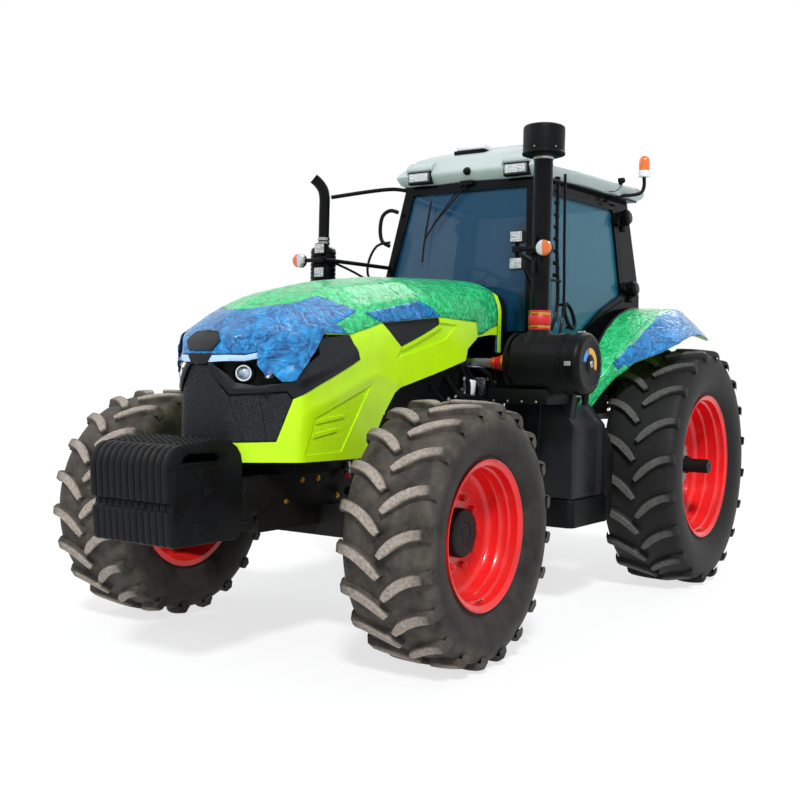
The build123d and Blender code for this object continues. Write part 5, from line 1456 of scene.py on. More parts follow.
# side outline of one weight: behind its face, height
WEIGHT_OUTLINE = [(0, 1078), (-6, 1112), (-22, 1148), (-46, 1176), (-80, 1192), (-385, 1216), (-450, 1202),
                  (-500, 1172), (-530, 1132), (-540, 1095), (-540, 735), (-530, 708), (-505, 690), (-60, 690),
                  (-44, 696), (-36, 712), (-20, 860), (-42, 875), (-42, 900), (-12, 915)]
WEIGHT_SLOT = [(-90, 1105), (-112, 1136), (-140, 1150), (-330, 1150), (-356, 1138), (-370, 1105)]
WEIGHT_UPPER = [(-4, 1080), (-300, 1094), (-366, 1110), (-404, 1150), (-418, 1207), (-84, 1186), (-50, 1168),
                (-26, 1140), (-10, 1108)]


def weight_places(points, y):
    """Places behind the weights' face, from millimetres behind it and heights."""
    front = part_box("front_weights")[1].x
    return [Vector((front + x * MM, y, z * MM)) for x, z in points]


def build_weight_plates():
    """The row of plates, each with its grip, its slot and a ridged top."""
    sizes = bpy.context.scene.tractor_ballast
    low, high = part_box("front_weights")
    pitch, thick = sizes.pitch, sizes.thickness
    first = low.y + (pitch - (high.y - low.y + pitch - thick) / sizes.count) / 2
    metal = "cast_black"

    plate = prism("weight", weight_places(WEIGHT_OUTLINE, 0), LEFT, thick, metal, 0)
    slot = prism("slot", weight_places(WEIGHT_SLOT, -0.01), LEFT, thick + 0.02, metal, 0)
    cut_by(plate, slot)
    rounded(plate, 5.5, 2, 40, 35)
    ridge = prism("ridge", [Vector((high.x + x * MM, thick * 0.18, z * MM))
                            for x, z in ((-112, 1192), (-118, 1200), (-130, 1201), (-136, 1194))],
                  LEFT, thick * 0.64, metal, 1.2, 1)
    repeated(ridge, metal, 8, step=(-0.034, 0, 0.0027))
    plate = joined("front_weight_plates", [plate, ridge])
    repeated(plate, metal, sizes.count, step=(0, pitch, 0), centre=(0, first, 0))
    placed(plate, "chassis", "cast_dark", "front_weights")


def build_weight_faces():
    """Raised panels, pads and studs on the outer faces of the row."""
    low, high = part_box("front_weights")
    metal = "cast_black"
    parts = []
    for side in (1, -1):
        face = high.y if side > 0 else low.y
        panel = prism("panel", weight_places(WEIGHT_UPPER, face), (0, side, 0), 0.005, metal, 0)
        slot = prism("slot", weight_places(WEIGHT_SLOT, face - 0.02 * side), (0, side, 0), 0.05, metal, 0)
        parts.append(rounded(cut_by(panel, slot), 2.2))
        for x0, x1, z0, z1 in ((-365, -180, 742, 800), (-372, -250, 925, 968)):
            pad = prism("pad", weight_places([(x0, z0), (x1, z0), (x1, z1), (x0, z1)], face), (0, side, 0),
                        0.004, metal, 2)
            parts.append(pad)
        for x, z in ((-232, 1048), (-84, 842), (-160, 1010), (-160, 915)):
            size = 16 if z in (1048, 842) else 6
            parts.append(bolt("stud", Vector((high.x + x * MM, face, z * MM)), (0, side, 0), size,
                              metal, 6))
    placed(joined("front_weight_faces", parts), "chassis", "cast_dark")


def build_weight_carrier():
    """The carrier block between its bolted plates."""
    low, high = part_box("weight_carrier")
    carrier = box_piece("weight_carrier_block", low, high, "black_metal", 10)
    placed(carrier, "chassis", "black_metal", "weight_carrier")
    parts = []
    for side in (1, -1):
        face = side * 0.25
        lip = prism("lip", [Vector((high.x - 0.010, face, 0.985)), Vector((high.x - 0.145, face, 0.985)),
                            Vector((high.x - 0.145, face, 0.800)), Vector((high.x - 0.010, face, 0.780))],
                    (0, side, 0), 0.014, "black_metal", 4)
        parts.append(lip)
        for x, z in ((-0.05, 0.94), (-0.11, 0.94)):
            parts.append(bolt("stud", Vector((high.x + x, face + side * 0.013, z)), (0, side, 0), 9,
                              "black_metal"))
    placed(joined("weight_carrier_plates", parts), "chassis", "black_metal")


class BuildBallast(bpy.types.Operator):
    """Twelve ribbed front weights on their carrier"""
    bl_idname = "tractor.ballast"
    bl_label = "Ballast"

    def execute(self, context):
        build_weight_plates()
        build_weight_faces()
        build_weight_carrier()
        return {"FINISHED"}


# ---------------------------------------------------------------- air intake


CLEANER = (1850, 1665)    # its axis across the tractor: ahead of the rear axle, height
STACK = (1870, 875)       # upright line of the stack: ahead of the rear axle, y


def on_cleaner(y):
    return at(CLEANER[0], y, CLEANER[1])


def build_cleaner():
    """The ribbed canister with its cap, spout, drain and boss."""
    middle = on_cleaner(0)
    shell = [(662, 56), (664, 66), (690, 112), (712, 156), (732, 186), (746, 197)]
    for k in range(31):
        start = 756 + k * 12.6
        shell += [(start, 198), (start + 2, 200), (start + 8, 200), (start + 10, 198)]
    shell += [(1150, 198), (1154, 203), (1176, 203), (1176, 60)]
    can = lathe("air_cleaner_shell", shell, middle, LEFT, 64, "black_plastic", 30)
    cap = lathe("cap", [(1178, 60), (1178, 206), (1198, 207.5), (1216, 203), (1230, 192), (1237, 178),
                        (1238, 160), (1234, 150), (1233, 66), (1238, 60), (1244, 42), (1246, 20),
                        (1246, 0), (1178, 0)], middle, LEFT, 72, "black_plastic", 32, closed=False)
    spout = lathe("spout", [(1760, 0), (1760, 156), (1800, 134), (1840, 104), (1866, 84), (1885, 70),
                            (1885, 0)], at(*STACK, 0), UP, 40, "black_plastic", 32)
    drain = lathe("drain", [(1395, 0), (1397, 15), (1412, 20), (1430, 24), (1470, 26), (1470, 0)],
                  at(1850, 1206, 0), UP, 20, "black_plastic", 35)
    boss = lathe("boss", [(622, 0), (622, 54), (626, 60), (664, 62), (664, 0)], middle, LEFT, 36,
                 "black_plastic", 35)
    placed(joined("air_cleaner_body", [can, cap, spout, drain, boss]), "chassis", "black_plastic",
           "air_cleaner")


def build_cleaner_cap():
    """Slots, printed arcs, knob and clips of the canister's cap."""
    middle = on_cleaner(0)
    square = box_piece("air_cleaner_slots", Vector((-0.011, 0, 0.150)), Vector((0.011, 0.005, 0.168)),
                       "grey_plastic", 2, 1)
    repeated(square, "grey_plastic", 22, turn=(0, 2 * math.pi / 22, 0), centre=on_cleaner(1233))
    placed(square, "chassis", "black_plastic")
    for name, start, sweep, finish in (("air_cleaner_arc_yellow", -112, 128, "yellow_mark"),
                                       ("air_cleaner_arc_blue", 24, 56, "blue_mark")):
        verts, faces = [], []
        for k in range(25):
            turn = math.radians(start + sweep * k / 24)
            spoke = Vector((math.sin(turn), 0, math.cos(turn)))
            verts += [on_cleaner(1234.5) + spoke * radius for radius in (0.062, 0.104)]
        for k in range(24):
            faces.append((2 * k, 2 * k + 1, 2 * k + 3, 2 * k + 2))
        arc = mesh_object(name, verts, faces, finish)
        thicken(arc, 1.2)
        placed(arc, "chassis", "black_plastic")
    hub = lathe("air_cleaner_knob", [(1234, 0), (1234, 26), (1244, 24), (1250, 20), (1250, 9), (1246, 8),
                                     (1246, 0)], middle, LEFT, 32, "steel", 30)
    placed(hub, "chassis", "steel")
    clip = box_piece("air_cleaner_clips", Vector((-0.014, -0.020, 0.200)), Vector((0.014, 0.026, 0.214)),
                     "zinc", 3, 1)
    repeated(clip, "steel", 4, turn=(0, math.pi / 2, 0), centre=on_cleaner(1166))
    placed(clip, "chassis", "steel")


def build_stack():
    """The red sleeve, the tall pipe and the pre-cleaner with its screws."""
    place = at(*STACK, 0)
    sleeve = lathe("stack_sleeve",
                   [(1886, 66), (1886, 72), (1898, 72.5), (1900, 70), (1914, 70), (1918, 73),
                    (1950, 75), (1982, 73), (1986, 70), (2000, 70), (2003, 72.5), (2014, 72),
                    (2014, 66)], place, UP, 40, "silicone", 40)
    placed(sleeve, "chassis", "red_silicone", "stack_coupling")
    stack = lathe("stack_pipe", [(1960, 58), (1960, 64), (3010, 64), (3012, 58)], place, UP, 48,
                  "gloss_black", 30)
    can = lathe("pre_cleaner", [(3024, 66), (3030, 84), (3036, 132), (3040, 142), (3052, 142),
                                (3058, 137), (3205, 138), (3220, 135), (3228, 126), (3230, 112),
                                (3230, 0), (3024, 0)], place, UP, 56, "black_plastic", 32, closed=False)
    placed(joined("stack_and_pre_cleaner", [stack, can]), "chassis", "black_metal", "intake_stack")
    screw = lathe("pre_cleaner_screws", [(0, 0), (0, 5), (2.5, 5), (3.5, 3), (3.5, 0)], (0.1372, 0, 0),
                  AHEAD, 10, "steel", 30)
    repeated(screw, "steel", 6, turn=(0, 0, math.pi / 3), centre=place + Vector((0, 0, 3.074)))
    placed(screw, "chassis", "steel")


def build_hose_clamps():
    """Clamps on the stack's sleeve and the charge boot."""
    middle, place = on_cleaner(0), at(*STACK, 0)
    bands = []
    for low, radius, finish in ((1900, 72.5, "zinc"), (1986, 72.5, "zinc"), (3008, 68, "steel")):
        high = low + (14 if radius > 70 else 16)
        bands.append(lathe("band", [(low, radius - 3), (low, radius), (high, radius), (high, radius - 3)],
                           place, UP, 40, finish, 30))
        z = (low + high) / 2
        screw = lathe("screw", [(-22, 0), (-22, 6), (22, 6), (22, 0)],
                      place + Vector((radius * MM, 0, z * MM)), LEFT, 10, finish, 30)
        bands.append(screw)
    for y, radius in ((536, 40), (612, 62)):
        bands.append(lathe("band", [(y, radius - 3), (y, radius), (y + 13, radius), (y + 13, radius - 3)],
                           middle, LEFT, 36, "zinc", 30))
    placed(joined("hose_clamps", bands), "chassis", "steel")


def build_charge_pipe():
    """The chrome pipe and its red boot."""
    middle = on_cleaner(0)
    pipe = lathe("charge_pipe", [(290, 28), (290, 33), (330, 33), (334, 35), (340, 35), (344, 33),
                                 (560, 33), (560, 28)], middle, LEFT, 36, "chrome", 30)
    boot = lathe("charge_boot", [(520, 34), (520, 39), (552, 39), (556, 43), (572, 46), (590, 56),
                                 (600, 59), (622, 60), (622, 40)], middle, LEFT, 36, "silicone", 32)
    placed(pipe, "chassis", "chrome_steel", "intake_pipe")
    placed(boot, "chassis", "red_silicone")


def build_cleaner_mounts():
    """The cradle, its bolts and the two straps."""
    middle = on_cleaner(0)
    low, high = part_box("cleaner_bracket")
    cradle = box_piece("air_cleaner_cradle", low, high, "black_metal", 8)
    row = bolt("cradle_bolts", at(1990, 610, 1412), AHEAD, 6, "steel")
    repeated(row, "steel", 4, step=(0, 0.104, 0))
    placed(cradle, "chassis", "black_metal", "cleaner_bracket")
    placed(row, "chassis", "steel")
    straps = []
    for y in (700, 1080):
        straps.append(lathe("strap", [(y, 199), (y, 202.5), (y + 26, 202.5), (y + 26, 199)], middle,
                            LEFT, 48, "black_metal", 30))
    placed(joined("air_cleaner_straps", straps), "chassis", "black_metal")


class BuildIntake(bpy.types.Operator):
    """Ribbed air cleaner, boots, clamps, stack and pre-cleaner"""
    bl_idname = "tractor.intake"
    bl_label = "Air intake"

    def execute(self, context):
        build_cleaner()
        build_cleaner_cap()
        build_stack()
        build_hose_clamps()
        build_charge_pipe()
        build_cleaner_mounts()
        return {"FINISHED"}


# ---------------------------------------------------------------- tanks and steps


def side_tank(name):
    section = [(515, 752), (1050, 752), (1050, 1250), (925, 1395), (515, 1395)]
    body = prism("body", [at(1130, y, z) for y, z in section], AHEAD, 0.540, "tank_plastic", 16, 3)
    parts = [body]
    for x in (1205, 1235, 1265):
        strip = [(1044, 756), (1056, 756), (1056, 1254), (929, 1401), (915, 1392), (1044, 1246)]
        parts.append(prism("rib", [at(x, y, z) for y, z in strip], AHEAD, 0.013, "tank_plastic", 3, 1))
    parts.append(tube("seam", [at(1669, 800, 1392), at(1671, 792, 1250), at(1671, 780, 1000),
                               at(1670, 776, 762)], 5, "tank_plastic", 8))
    plate = prism("plate", [at(1300, 1049, 790), at(1640, 1049, 790), at(1640, 1049, 1236),
                            at(1300, 1049, 1236)], LEFT, 0.004, "tank_plastic", 3)
    parts.append(plate)
    return joined(name, parts)


def tank_guard(name):
    plan = [(1120, 516), (1682, 516), (1682, 1022), (1650, 1062), (1120, 1062)]
    return prism(name, [at(x, y, 562) for x, y in plan], UP, 0.190, "black_plastic", 9, 3)


def build_filler():
    """The fuel filler's neck and cap, with the wrap still on."""
    neck = prism("neck", [at(1560, 905, 1330), at(1650, 905, 1330), at(1650, 1010, 1262),
                          at(1560, 1010, 1262)], (-0.10, 0.06, 1), 0.205, "tank_plastic", 12, 3)
    cap = lathe("cap", [(0, 0), (0, 44), (6, 48), (34, 48), (42, 42), (44, 0)], at(1590, 965, 1492),
                (-0.10, 0.06, 1), 28, "black_plastic", 30)
    placed(joined("fuel_filler", [neck, cap]), "chassis", "black_plastic")
    wrap = lathe("filler_wrap", [(-4, 50), (8, 52), (18, 50), (30, 53), (46, 50), (52, 40), (55, 0)],
                 at(1590, 965, 1492), (-0.10, 0.06, 1), 20, "clear_wrap", 180, closed=False)
    placed(wrap, "chassis", "green_film")


def ladder_tread(z):
    metal = "black_metal"
    low = at(1004, 632, z)
    plate = box_piece("tread", low, low + Vector((0.112, 0.416, 0.028)), metal, 5)
    teeth = box_piece("teeth", Vector((0, 0, 0)), Vector((0.088, 0.007, 0.010)), metal, 2, 1)
    repeated(teeth, metal, 16, step=(0, 0.025, 0), centre=low + Vector((0.012, 0.018, 0.024)))
    return [plate, teeth]


def build_steps():
    """Three toothed treads between their cheeks."""
    metal = "black_metal"
    parts = []
    for z in (1190, 900, 610):
        parts += ladder_tread(z)
    for y in (622, 1048):
        cheek = [(1124, 1350), (1090, 1350), (1010, 1260), (1004, 1190), (1004, 640), (1040, 580),
                 (1124, 560)]
        if y > 1000:
            cheek = [(1124, 1180), (1080, 1170), (1010, 1080), (1004, 1040), (1004, 640), (1040, 580),
                     (1124, 560)]
        parts.append(prism("cheek", [at(x, y, z) for x, z in cheek], LEFT, 0.009, metal, 3))
    back = prism("back", [at(1118, 620, 560), at(1118, 1060, 560), at(1118, 1060, 1180),
                          at(1118, 930, 1350), at(1118, 620, 1350)], AHEAD, 0.012, metal, 3)
    placed(joined("boarding_steps", [*parts, back]), "chassis", "black_metal", "steps")


class BuildTanks(bpy.types.Operator):
    """Side tanks with grooves, seams and guards, the filler and the steps"""
    bl_idname = "tractor.tanks"
    bl_label = "Tanks and steps"

    def execute(self, context):
        both("side_tank", side_tank, "chassis", "black_plastic", "tank_SIDE")
        both("tank_guard", tank_guard, "chassis", "black_plastic")
        build_filler()
        build_steps()
        return {"FINISHED"}


# ---------------------------------------------------------------- cab outside

ROOF_SIDE = [(1335, 3020), (1385, 3100), (1290, 3230), (1000, 3335), (500, 3330), (150, 3240), (-90, 3080),
             (-60, 3020)]


def roof_outside(points):
    """How far points lie outside the roof's form, in metres."""
    x, y, z = points[:, 0] / MM - REAR_AXLE.x / MM, np.abs(points[:, 1]) / MM, points[:, 2] / MM
    sides = []
    for (x0, z0), (x1, z1) in zip(ROOF_SIDE, ROOF_SIDE[1:]):
        length = math.hypot(x1 - x0, z1 - z0)
        sides.append(((x - x0) * -(z1 - z0) + (z - z0) * (x1 - x0)) / -length)
    half = 640 + (1385 - x) / 1475 * 200
    for inward, height, slope in ((0, 3100, -0.5), (0, 3100, 1.1), (220, 3300, 7.0)):
        length = math.hypot(1, slope)
        sides.append((y - (half - inward) + slope * (z - height)) / length)
    sides.append(3020 - z)
    return soft_max(np.array(sides), 7.0) * MM


def build_roof_moulding():
    """The roof's closed skin, cast outward from its heart."""
    heart = np.array([rear(650), 0, 3.16])
    rows, columns = 40, 96
    ways, faces = [], []
    for i in range(rows + 1):
        tilt = math.pi * i / rows
        for k in range(columns):
            turn = 2 * math.pi * k / columns
            ways.append((math.sin(tilt) * math.cos(turn), math.sin(tilt) * math.sin(turn),
                         0.22 * math.cos(tilt)))
    ways = np.array(ways)
    ways /= np.linalg.norm(ways, axis=1)[:, None]
    verts = cast(np.repeat(heart[None, :], len(ways), 0), ways, roof_outside)
    for i in range(rows):
        for k in range(columns):
            n = (k + 1) % columns
            faces.append((i * columns + k, i * columns + n, (i + 1) * columns + n, (i + 1) * columns + k))
    roof = mesh_object("roof_moulding", verts, faces, "roof", smooth_angle=32)
    placed(roof, "chassis", "roof_grey", "cab_roof")


def build_roof_top():
    """The underside, the hatch with its seal and the aerial."""
    under = prism("roof_underside", [at(1322, -590, 3012), at(1322, 590, 3012), at(-40, 775, 3012),
                                     at(-40, -775, 3012)], UP, 0.010, "black_plastic", 2)
    placed(under, "chassis", "black_plastic")
    plate = box_piece("roof_hatch_seal", at(420, -330, 3325), at(960, 330, 3338), "black_plastic", 4)
    lid = box_piece("roof_hatch", at(430, -320, 3336), at(950, 320, 3349), "roof", 5)
    placed(plate, "chassis", "black_plastic")
    placed(lid, "chassis", "roof_grey")
    aerial = box_piece("roof_aerial", at(1060, -205, 3285), at(1200, 40, 3348), "white_plastic", 22, 4)
    foot = box_piece("roof_aerial_foot", at(1050, -215, 3262), at(1212, 50, 3292), "black_plastic", 6)
    placed(aerial, "chassis", "roof_grey")
    placed(foot, "chassis", "black_plastic")


def build_roof_lamps():
    """Two hooded lamps at the front edge."""
    lamps, hoods, lenses = [], [], []
    for side in (1, -1):
        y = side * 413
        outline = [(1270, 3215), (1345, 3196), (1396, 3160), (1400, 3128), (1378, 3122), (1270, 3122)]
        hoods.append(prism("hood", [at(x, y - 112, z) for x, z in outline], LEFT, 0.224, "roof", 10, 3))
        lamps.append(box_piece("well", at(1290, y - 104, 3030), at(1382, y + 104, 3126),
                               "black_plastic", 6))
        lamps.append(box_piece("lamp", at(1340, y - 90, 3041), at(1398, y + 90, 3112), "zinc_grey", 8))
        lenses.append(box_piece("lens", at(1396, y - 82, 3048), at(1403, y + 82, 3106), "led_lens", 2))
    placed(joined("roof_lamp_hoods", hoods), "chassis", "roof_grey")
    placed(joined("roof_lamp_bodies", lamps), "chassis", "black_plastic", "roof_lamps")
    placed(joined("roof_lamp_lenses", lenses), "chassis", "roof_grey")


def build_roof_cameras():
    """Round pods at the front and on both sides, one with its lead."""
    pods = []
    for place, axis in ((at(1384, 5, 3092), (1, 0, -0.2)), (at(330, 786, 3128), (0, 1, 0.3)),
                        (at(330, -786, 3128), (0, -1, 0.3))):
        pods.append(lathe("pod", [(-14, 0), (-14, 30), (0, 30), (6, 24), (20, 22), (30, 16), (33, 8),
                                  (34, 0)], place, axis, 20, "black_plastic", 30))
    lead = tube("lead", [at(330, 800, 3125), at(390, 806, 3070), at(450, 796, 3032),
                         at(520, 770, 3018)], 3.5, "black_plastic", 8)
    placed(joined("roof_cameras", [*pods, lead]), "chassis", "black_plastic")


def build_beacon():
    """The beacon on its bent stalk."""
    base = at(140, 900, 0)
    stalk = tube("stalk", [at(320, 690, 3016), at(230, 760, 3030), at(165, 872, 3048), at(140, 900, 3100),
                           at(140, 900, 3182)], 14, "black_plastic", 14)
    foot = lathe("foot", [(3180, 0), (3180, 42), (3184, 45), (3228, 45), (3232, 40), (3232, 0)], base,
                 UP, 32, "white_plastic", 30)
    dome = lathe("dome", [(3230, 0), (3230, 42), (3300, 42), (3325, 38), (3340, 28), (3348, 14),
                          (3350, 0)], base, UP, 32, "amber", 35)
    placed(dome, "chassis", "amber", "beacon")
    placed(stalk, "chassis", "black_plastic")
    placed(foot, "chassis", "roof_grey")


class BuildRoof(bpy.types.Operator):
    """Moulded roof, its hatch, lamps, housings and beacon"""
    bl_idname = "tractor.roof"
    bl_label = "Roof"

    def execute(self, context):
        build_roof_moulding()
        build_roof_top()
        build_roof_lamps()
        build_roof_cameras()
        build_beacon()
        return {"FINISHED"}


def lamp_bar(name):
    black = "black_plastic"
    bar = [at(1446, 612, 2390), at(1800, 706, 2396), at(2040, 782, 2400), at(2070, 830, 2400),
           at(2070, 962, 2400)]
    brace = [at(1452, 614, 2200), at(1800, 704, 2330), at(2000, 768, 2392)]
    parts = [tube("bar", bar, 15, black, 14), tube("brace", brace, 9, black, 10),
             lathe("post", [(2330, 12), (2450, 12)], at(2070, 800, 0), UP, 14, black, 30),
             box_piece("clamp", at(2046, 772, 2380), at(2094, 828, 2420), black, 5)]
    for z0, z1 in ((2440, 2520), (2268, 2346)):
        parts.append(box_piece("shell", at(2055, 758, z0), at(2096, 852, z1), black, 7, 3))
        fin = box_piece("fin", Vector((0, 0, 0)), Vector((0.020, 0.006, z1 * MM - z0 * MM - 0.012)),
                        black, 1, 1)
        parts.append(repeated(fin, black, 8, step=(0, 0.0115, 0), centre=at(2040, 764, z0 + 6)))
    parts.append(lathe("pod", [(-22, 0), (-22, 44), (-16, 50), (6, 51), (6, 0)], at(2070, 1000, 2400),
                       AHEAD, 36, black, 30))
    return joined(name, parts)


def work_lamp_lenses(name):
    parts = []
    for z0, z1 in ((2446, 2514), (2274, 2340)):
        parts.append(box_piece("lens", at(2094, 764, z0), at(2102, 846, z1), "led_lens", 2))
    return joined(name, parts)


def signal(half):
    """A builder of one half, clear or amber, of a signal lamp."""
    def build(name):
        start = math.pi * (0 if half == "clear" else 1)
        finish = "amber" if half == "amber" else "clear_lens"
        profile = [(0, 50), (26, 50), (34, 44), (38, 30), (40, 1)]
        verts, faces = [], []
        for k in range(17):
            turn = start + math.pi * k / 16
            for along, radius in profile:
                verts.append(at(2076 + along, 1000 - math.sin(turn) * radius,
                                2400 + math.cos(turn) * radius))
        count = len(profile)
        for k in range(16):
            for row in range(count - 1):
                a = k * count + row
                faces.append((a, a + 1, a + count + 1, a + count))
        obj = mesh_object(name, verts, faces, finish, smooth_angle=40)
        return thicken(obj, 2.0)
    return build


class BuildLamps(bpy.types.Operator):
    """Work lamps and signal lamps on their bars"""
    bl_idname = "tractor.lamps"
    bl_label = "Lamps"

    def execute(self, context):
        both("lamp_bar", lamp_bar, "chassis", "black_plastic", "lamp_bracket_SIDE")
        both("work_lamp_lenses", work_lamp_lenses, "chassis", "roof_grey")
        both("signal_clear", signal("clear"), "chassis", "roof_grey")
        both("signal_amber", signal("amber"), "chassis", "amber")
        return {"FINISHED"}


# ---------------------------------------------------------------- fenders

# sections about the rear axle: degrees above the forward line, radius of the inner edge,
# y and radius of the crease, y and radius of the outer lip
FENDER_LINE = np.array([
    (22, 1205, 868, 1192, 872, 1120),
    (30, 1208, 918, 1195, 930, 1110),
    (38, 1210, 985, 1195, 1000, 1100),
    (46, 1212, 1062, 1196, 1110, 1092),
    (53, 1216, 1112, 1200, 1270, 1080),
    (62, 1220, 1140, 1207, 1335, 1058),
    (75, 1225, 1160, 1216, 1352, 1036),
    (90, 1224, 1160, 1212, 1352, 1016),
    (100, 1215, 1150, 1185, 1345, 1000),
    (112, 1195, 1000, 1190, 1090, 1140),
], float)
FENDER_INNER = 826


def fender_places(across, start, end, count=54):
    """Rows of places over the fender's top: across runs 0 to 1 to the crease and 1 to 2 to the lip."""
    rows = []
    for angle in np.linspace(start, end, count):
        section = [np.interp(angle, FENDER_LINE[:, 0], FENDER_LINE[:, k]) for k in range(1, 6)]
        inner, crease_y, crease_r, lip_y, lip_r = section
        row = []
        for share in across:
            if share <= 1:
                bow = 5 * math.sin(math.pi * share)
                y = FENDER_INNER + (crease_y - FENDER_INNER) * share
                r = inner + (crease_r - inner) * share + bow
            else:
                over = share - 1
                bow = 8 * math.sin(math.pi * over)
                y = crease_y + (lip_y - crease_y) * over
                r = crease_r + (lip_r - crease_r) * over + bow
            turn = math.radians(angle)
            row.append(Vector((REAR_AXLE.x + r * MM * math.cos(turn), y * MM,
                               REAR_AXLE.z + r * MM * math.sin(turn))))
        rows.append(row)
    return rows


def fender_skin(name, across, start, end, raise_mm, thick_mm, finish, wrinkle_mm=0.0, seed=0.0):
    rows = fender_places(across, start, end)
    verts, faces = [], []
    axle = Vector((REAR_AXLE.x, 0.9, REAR_AXLE.z))
    for row in rows:
        for place in row:
            away = (place - axle)
            away.y *= 0.5
            lift = raise_mm * MM
            if wrinkle_mm:
                p = place + Vector((seed, 0, seed))
                wave = noise.fractal(p * 8, 0.9, 2.1, 4)
                wave += 0.9 * abs(noise.noise(Vector((p.x * 14 + p.z * 10, p.y * 20, p.z * 18 - p.x * 8))))
                lift += wrinkle_mm * MM * max(wave, -0.5)
            verts.append(place + away.normalized() * lift)
    width = len(across)
    for i in range(len(rows) - 1):
        for k in range(width - 1):
            a = i * width + k
            faces.append((a, a + 1, a + width + 1, a + width))
    obj = mesh_object(name, verts, faces, finish, smooth_angle=180 if wrinkle_mm else 40)
    middle = obj.data.polygons[len(faces) // 2]
    if middle.normal.dot(middle.center - axle) < 0:
        obj.data.flip_normals()
    return thicken(obj, thick_mm, 0, 1, 180 if wrinkle_mm else 40)


# shares across the fender that each film covers
CROWN = [k / 14 for k in range(15)]
FLARE = [1 + 1.07 * k / 15 for k in range(16)]
FRONT_END = [0.98 + 1.2 * k / 10 for k in range(11)]
LAP = [0.86 + 0.18 * k / 4 for k in range(5)]


def crown_film(name):
    return fender_skin(name, CROWN, 22.5, 111, 7, 0.8, "green_film", 4.0, 3.0)


def front_film(name):
    return fender_skin(name, FRONT_END, 21.6, 43, 8, 0.8, "green_film", 4.0, 5.0)


def flare_film(name):
    return fender_skin(name, [s - 0.02 for s in FLARE], 40, 111, 8.5, 0.8, "blue_film", 4.0, 8.0)


def lap_film(name):
    return fender_skin(name, LAP, 42, 108, 9.5, 0.8,
                       "pale_film", 3.5, 12.0)


def fender_seal(name):
    points = []
    for angle in range(24, 112, 4):
        radius = np.interp(angle, FENDER_LINE[:, 0], FENDER_LINE[:, 1]) + 6
        turn = math.radians(angle)
        points.append(Vector((REAR_AXLE.x + radius * MM * math.cos(turn), 0.828,
                              REAR_AXLE.z + radius * MM * math.sin(turn))))
    return tube(name, points, 12, "black_plastic", 10, 2)


def fender_liner(name):
    line = [(1250, 1310), (1250, 1452), (1040, 1452), (560, 1452), (560, 1310)]
    return prism(name, [at(x, 800, z) for x, z in line], LEFT, 0.018, "black_plastic", 2, 1)


def tail_lamp(name):
    back, lit = at(-472, 905, 1938), at(-476, 915, 1946)
    shell = box_piece("shell", back, at(-404, 1085, 2004), "black_plastic", 8, 2)
    panes = [box_piece("pane", lit, at(-470, 1015, 1996), "red_lens", 2),
             box_piece("pane", at(-476, 1021, 1946), at(-470, 1075, 1996), "amber", 2)]
    return joined(name, [shell, *panes])


class BuildFenders(bpy.types.Operator):
    """Rear fenders' film, stretched over the crown and the flare, and the seal along the cab"""
    bl_idname = "tractor.fenders"
    bl_label = "Fenders"

    def execute(self, context):
        both("fender_film_green", crown_film, "chassis", "green_film")
        both("fender_film_front", front_film, "chassis", "green_film")
        both("fender_film_blue", flare_film, "chassis", "green_film")
        both("fender_film_lap", lap_film, "chassis", "green_film")
        both("fender_seal", fender_seal, "chassis", "black_plastic")
        both("fender_liner", fender_liner, "chassis", "black_plastic")
        both("tail_lamp", tail_lamp, "chassis", "black_plastic")
        return {"FINISHED"}


# ---------------------------------------------------------------- cab, cowl and seat

COWL_HALF = [(450, 1742), (450, 2030), (440, 2085), (415, 2143), (360, 2180), (280, 2208), (140, 2226),
             (0, 2232)]


def cowl_band(name, front_mm, back_mm, shrink_mm, finish, thick_mm=26, bevel_mm=4):
    """A hoop of the cowl between two places ahead of the rear axle."""
    half = [(y - shrink_mm * (y > 0), z - (shrink_mm if z > 2035 else 0)) for y, z in COWL_HALF]
    line = [(-y, z) for y, z in half] + half[-2::-1]
    verts = []
    for x in (front_mm, back_mm):
        verts += [at(x, y, z) for y, z in line]
    count = len(line)
    faces = [(k, k + 1, k + 1 + count, k + count) for k in range(count - 1)]
    obj = mesh_object(name, verts, faces, finish, smooth_angle=25)
    if obj.data.polygons[count // 2].normal.z < 0:
        obj.data.flip_normals()
    return thicken(obj, thick_mm, bevel_mm, 2, 30)


class BuildCowl(bpy.types.Operator):
    """Black cowl behind the hood with its lime bead"""
    bl_idname = "tractor.cowl"
    bl_label = "Cowl"

    def execute(self, context):
        black = "black_plastic"
        hoops = [cowl_band("hoop", 1674, 1651, 6, black), cowl_band("hoop", 1628, 1620, 5, black),
                 cowl_band("hoop", 1610, 1501, 12, black)]
        placed(joined("cowl_hoops", hoops), "chassis", "black_plastic", "cowl")
        beads = [cowl_band("bead", 1650, 1629, 0, "lime"), cowl_band("bead", 1619, 1611, 1, "lime")]
        placed(joined("cowl_beads", beads), "chassis", "lime")
        tape = cowl_band("cowl_tape", 1689, 1676, -1, "blue_film", 2, 0)
        placed(tape, "chassis", "green_film")
        return {"FINISHED"}


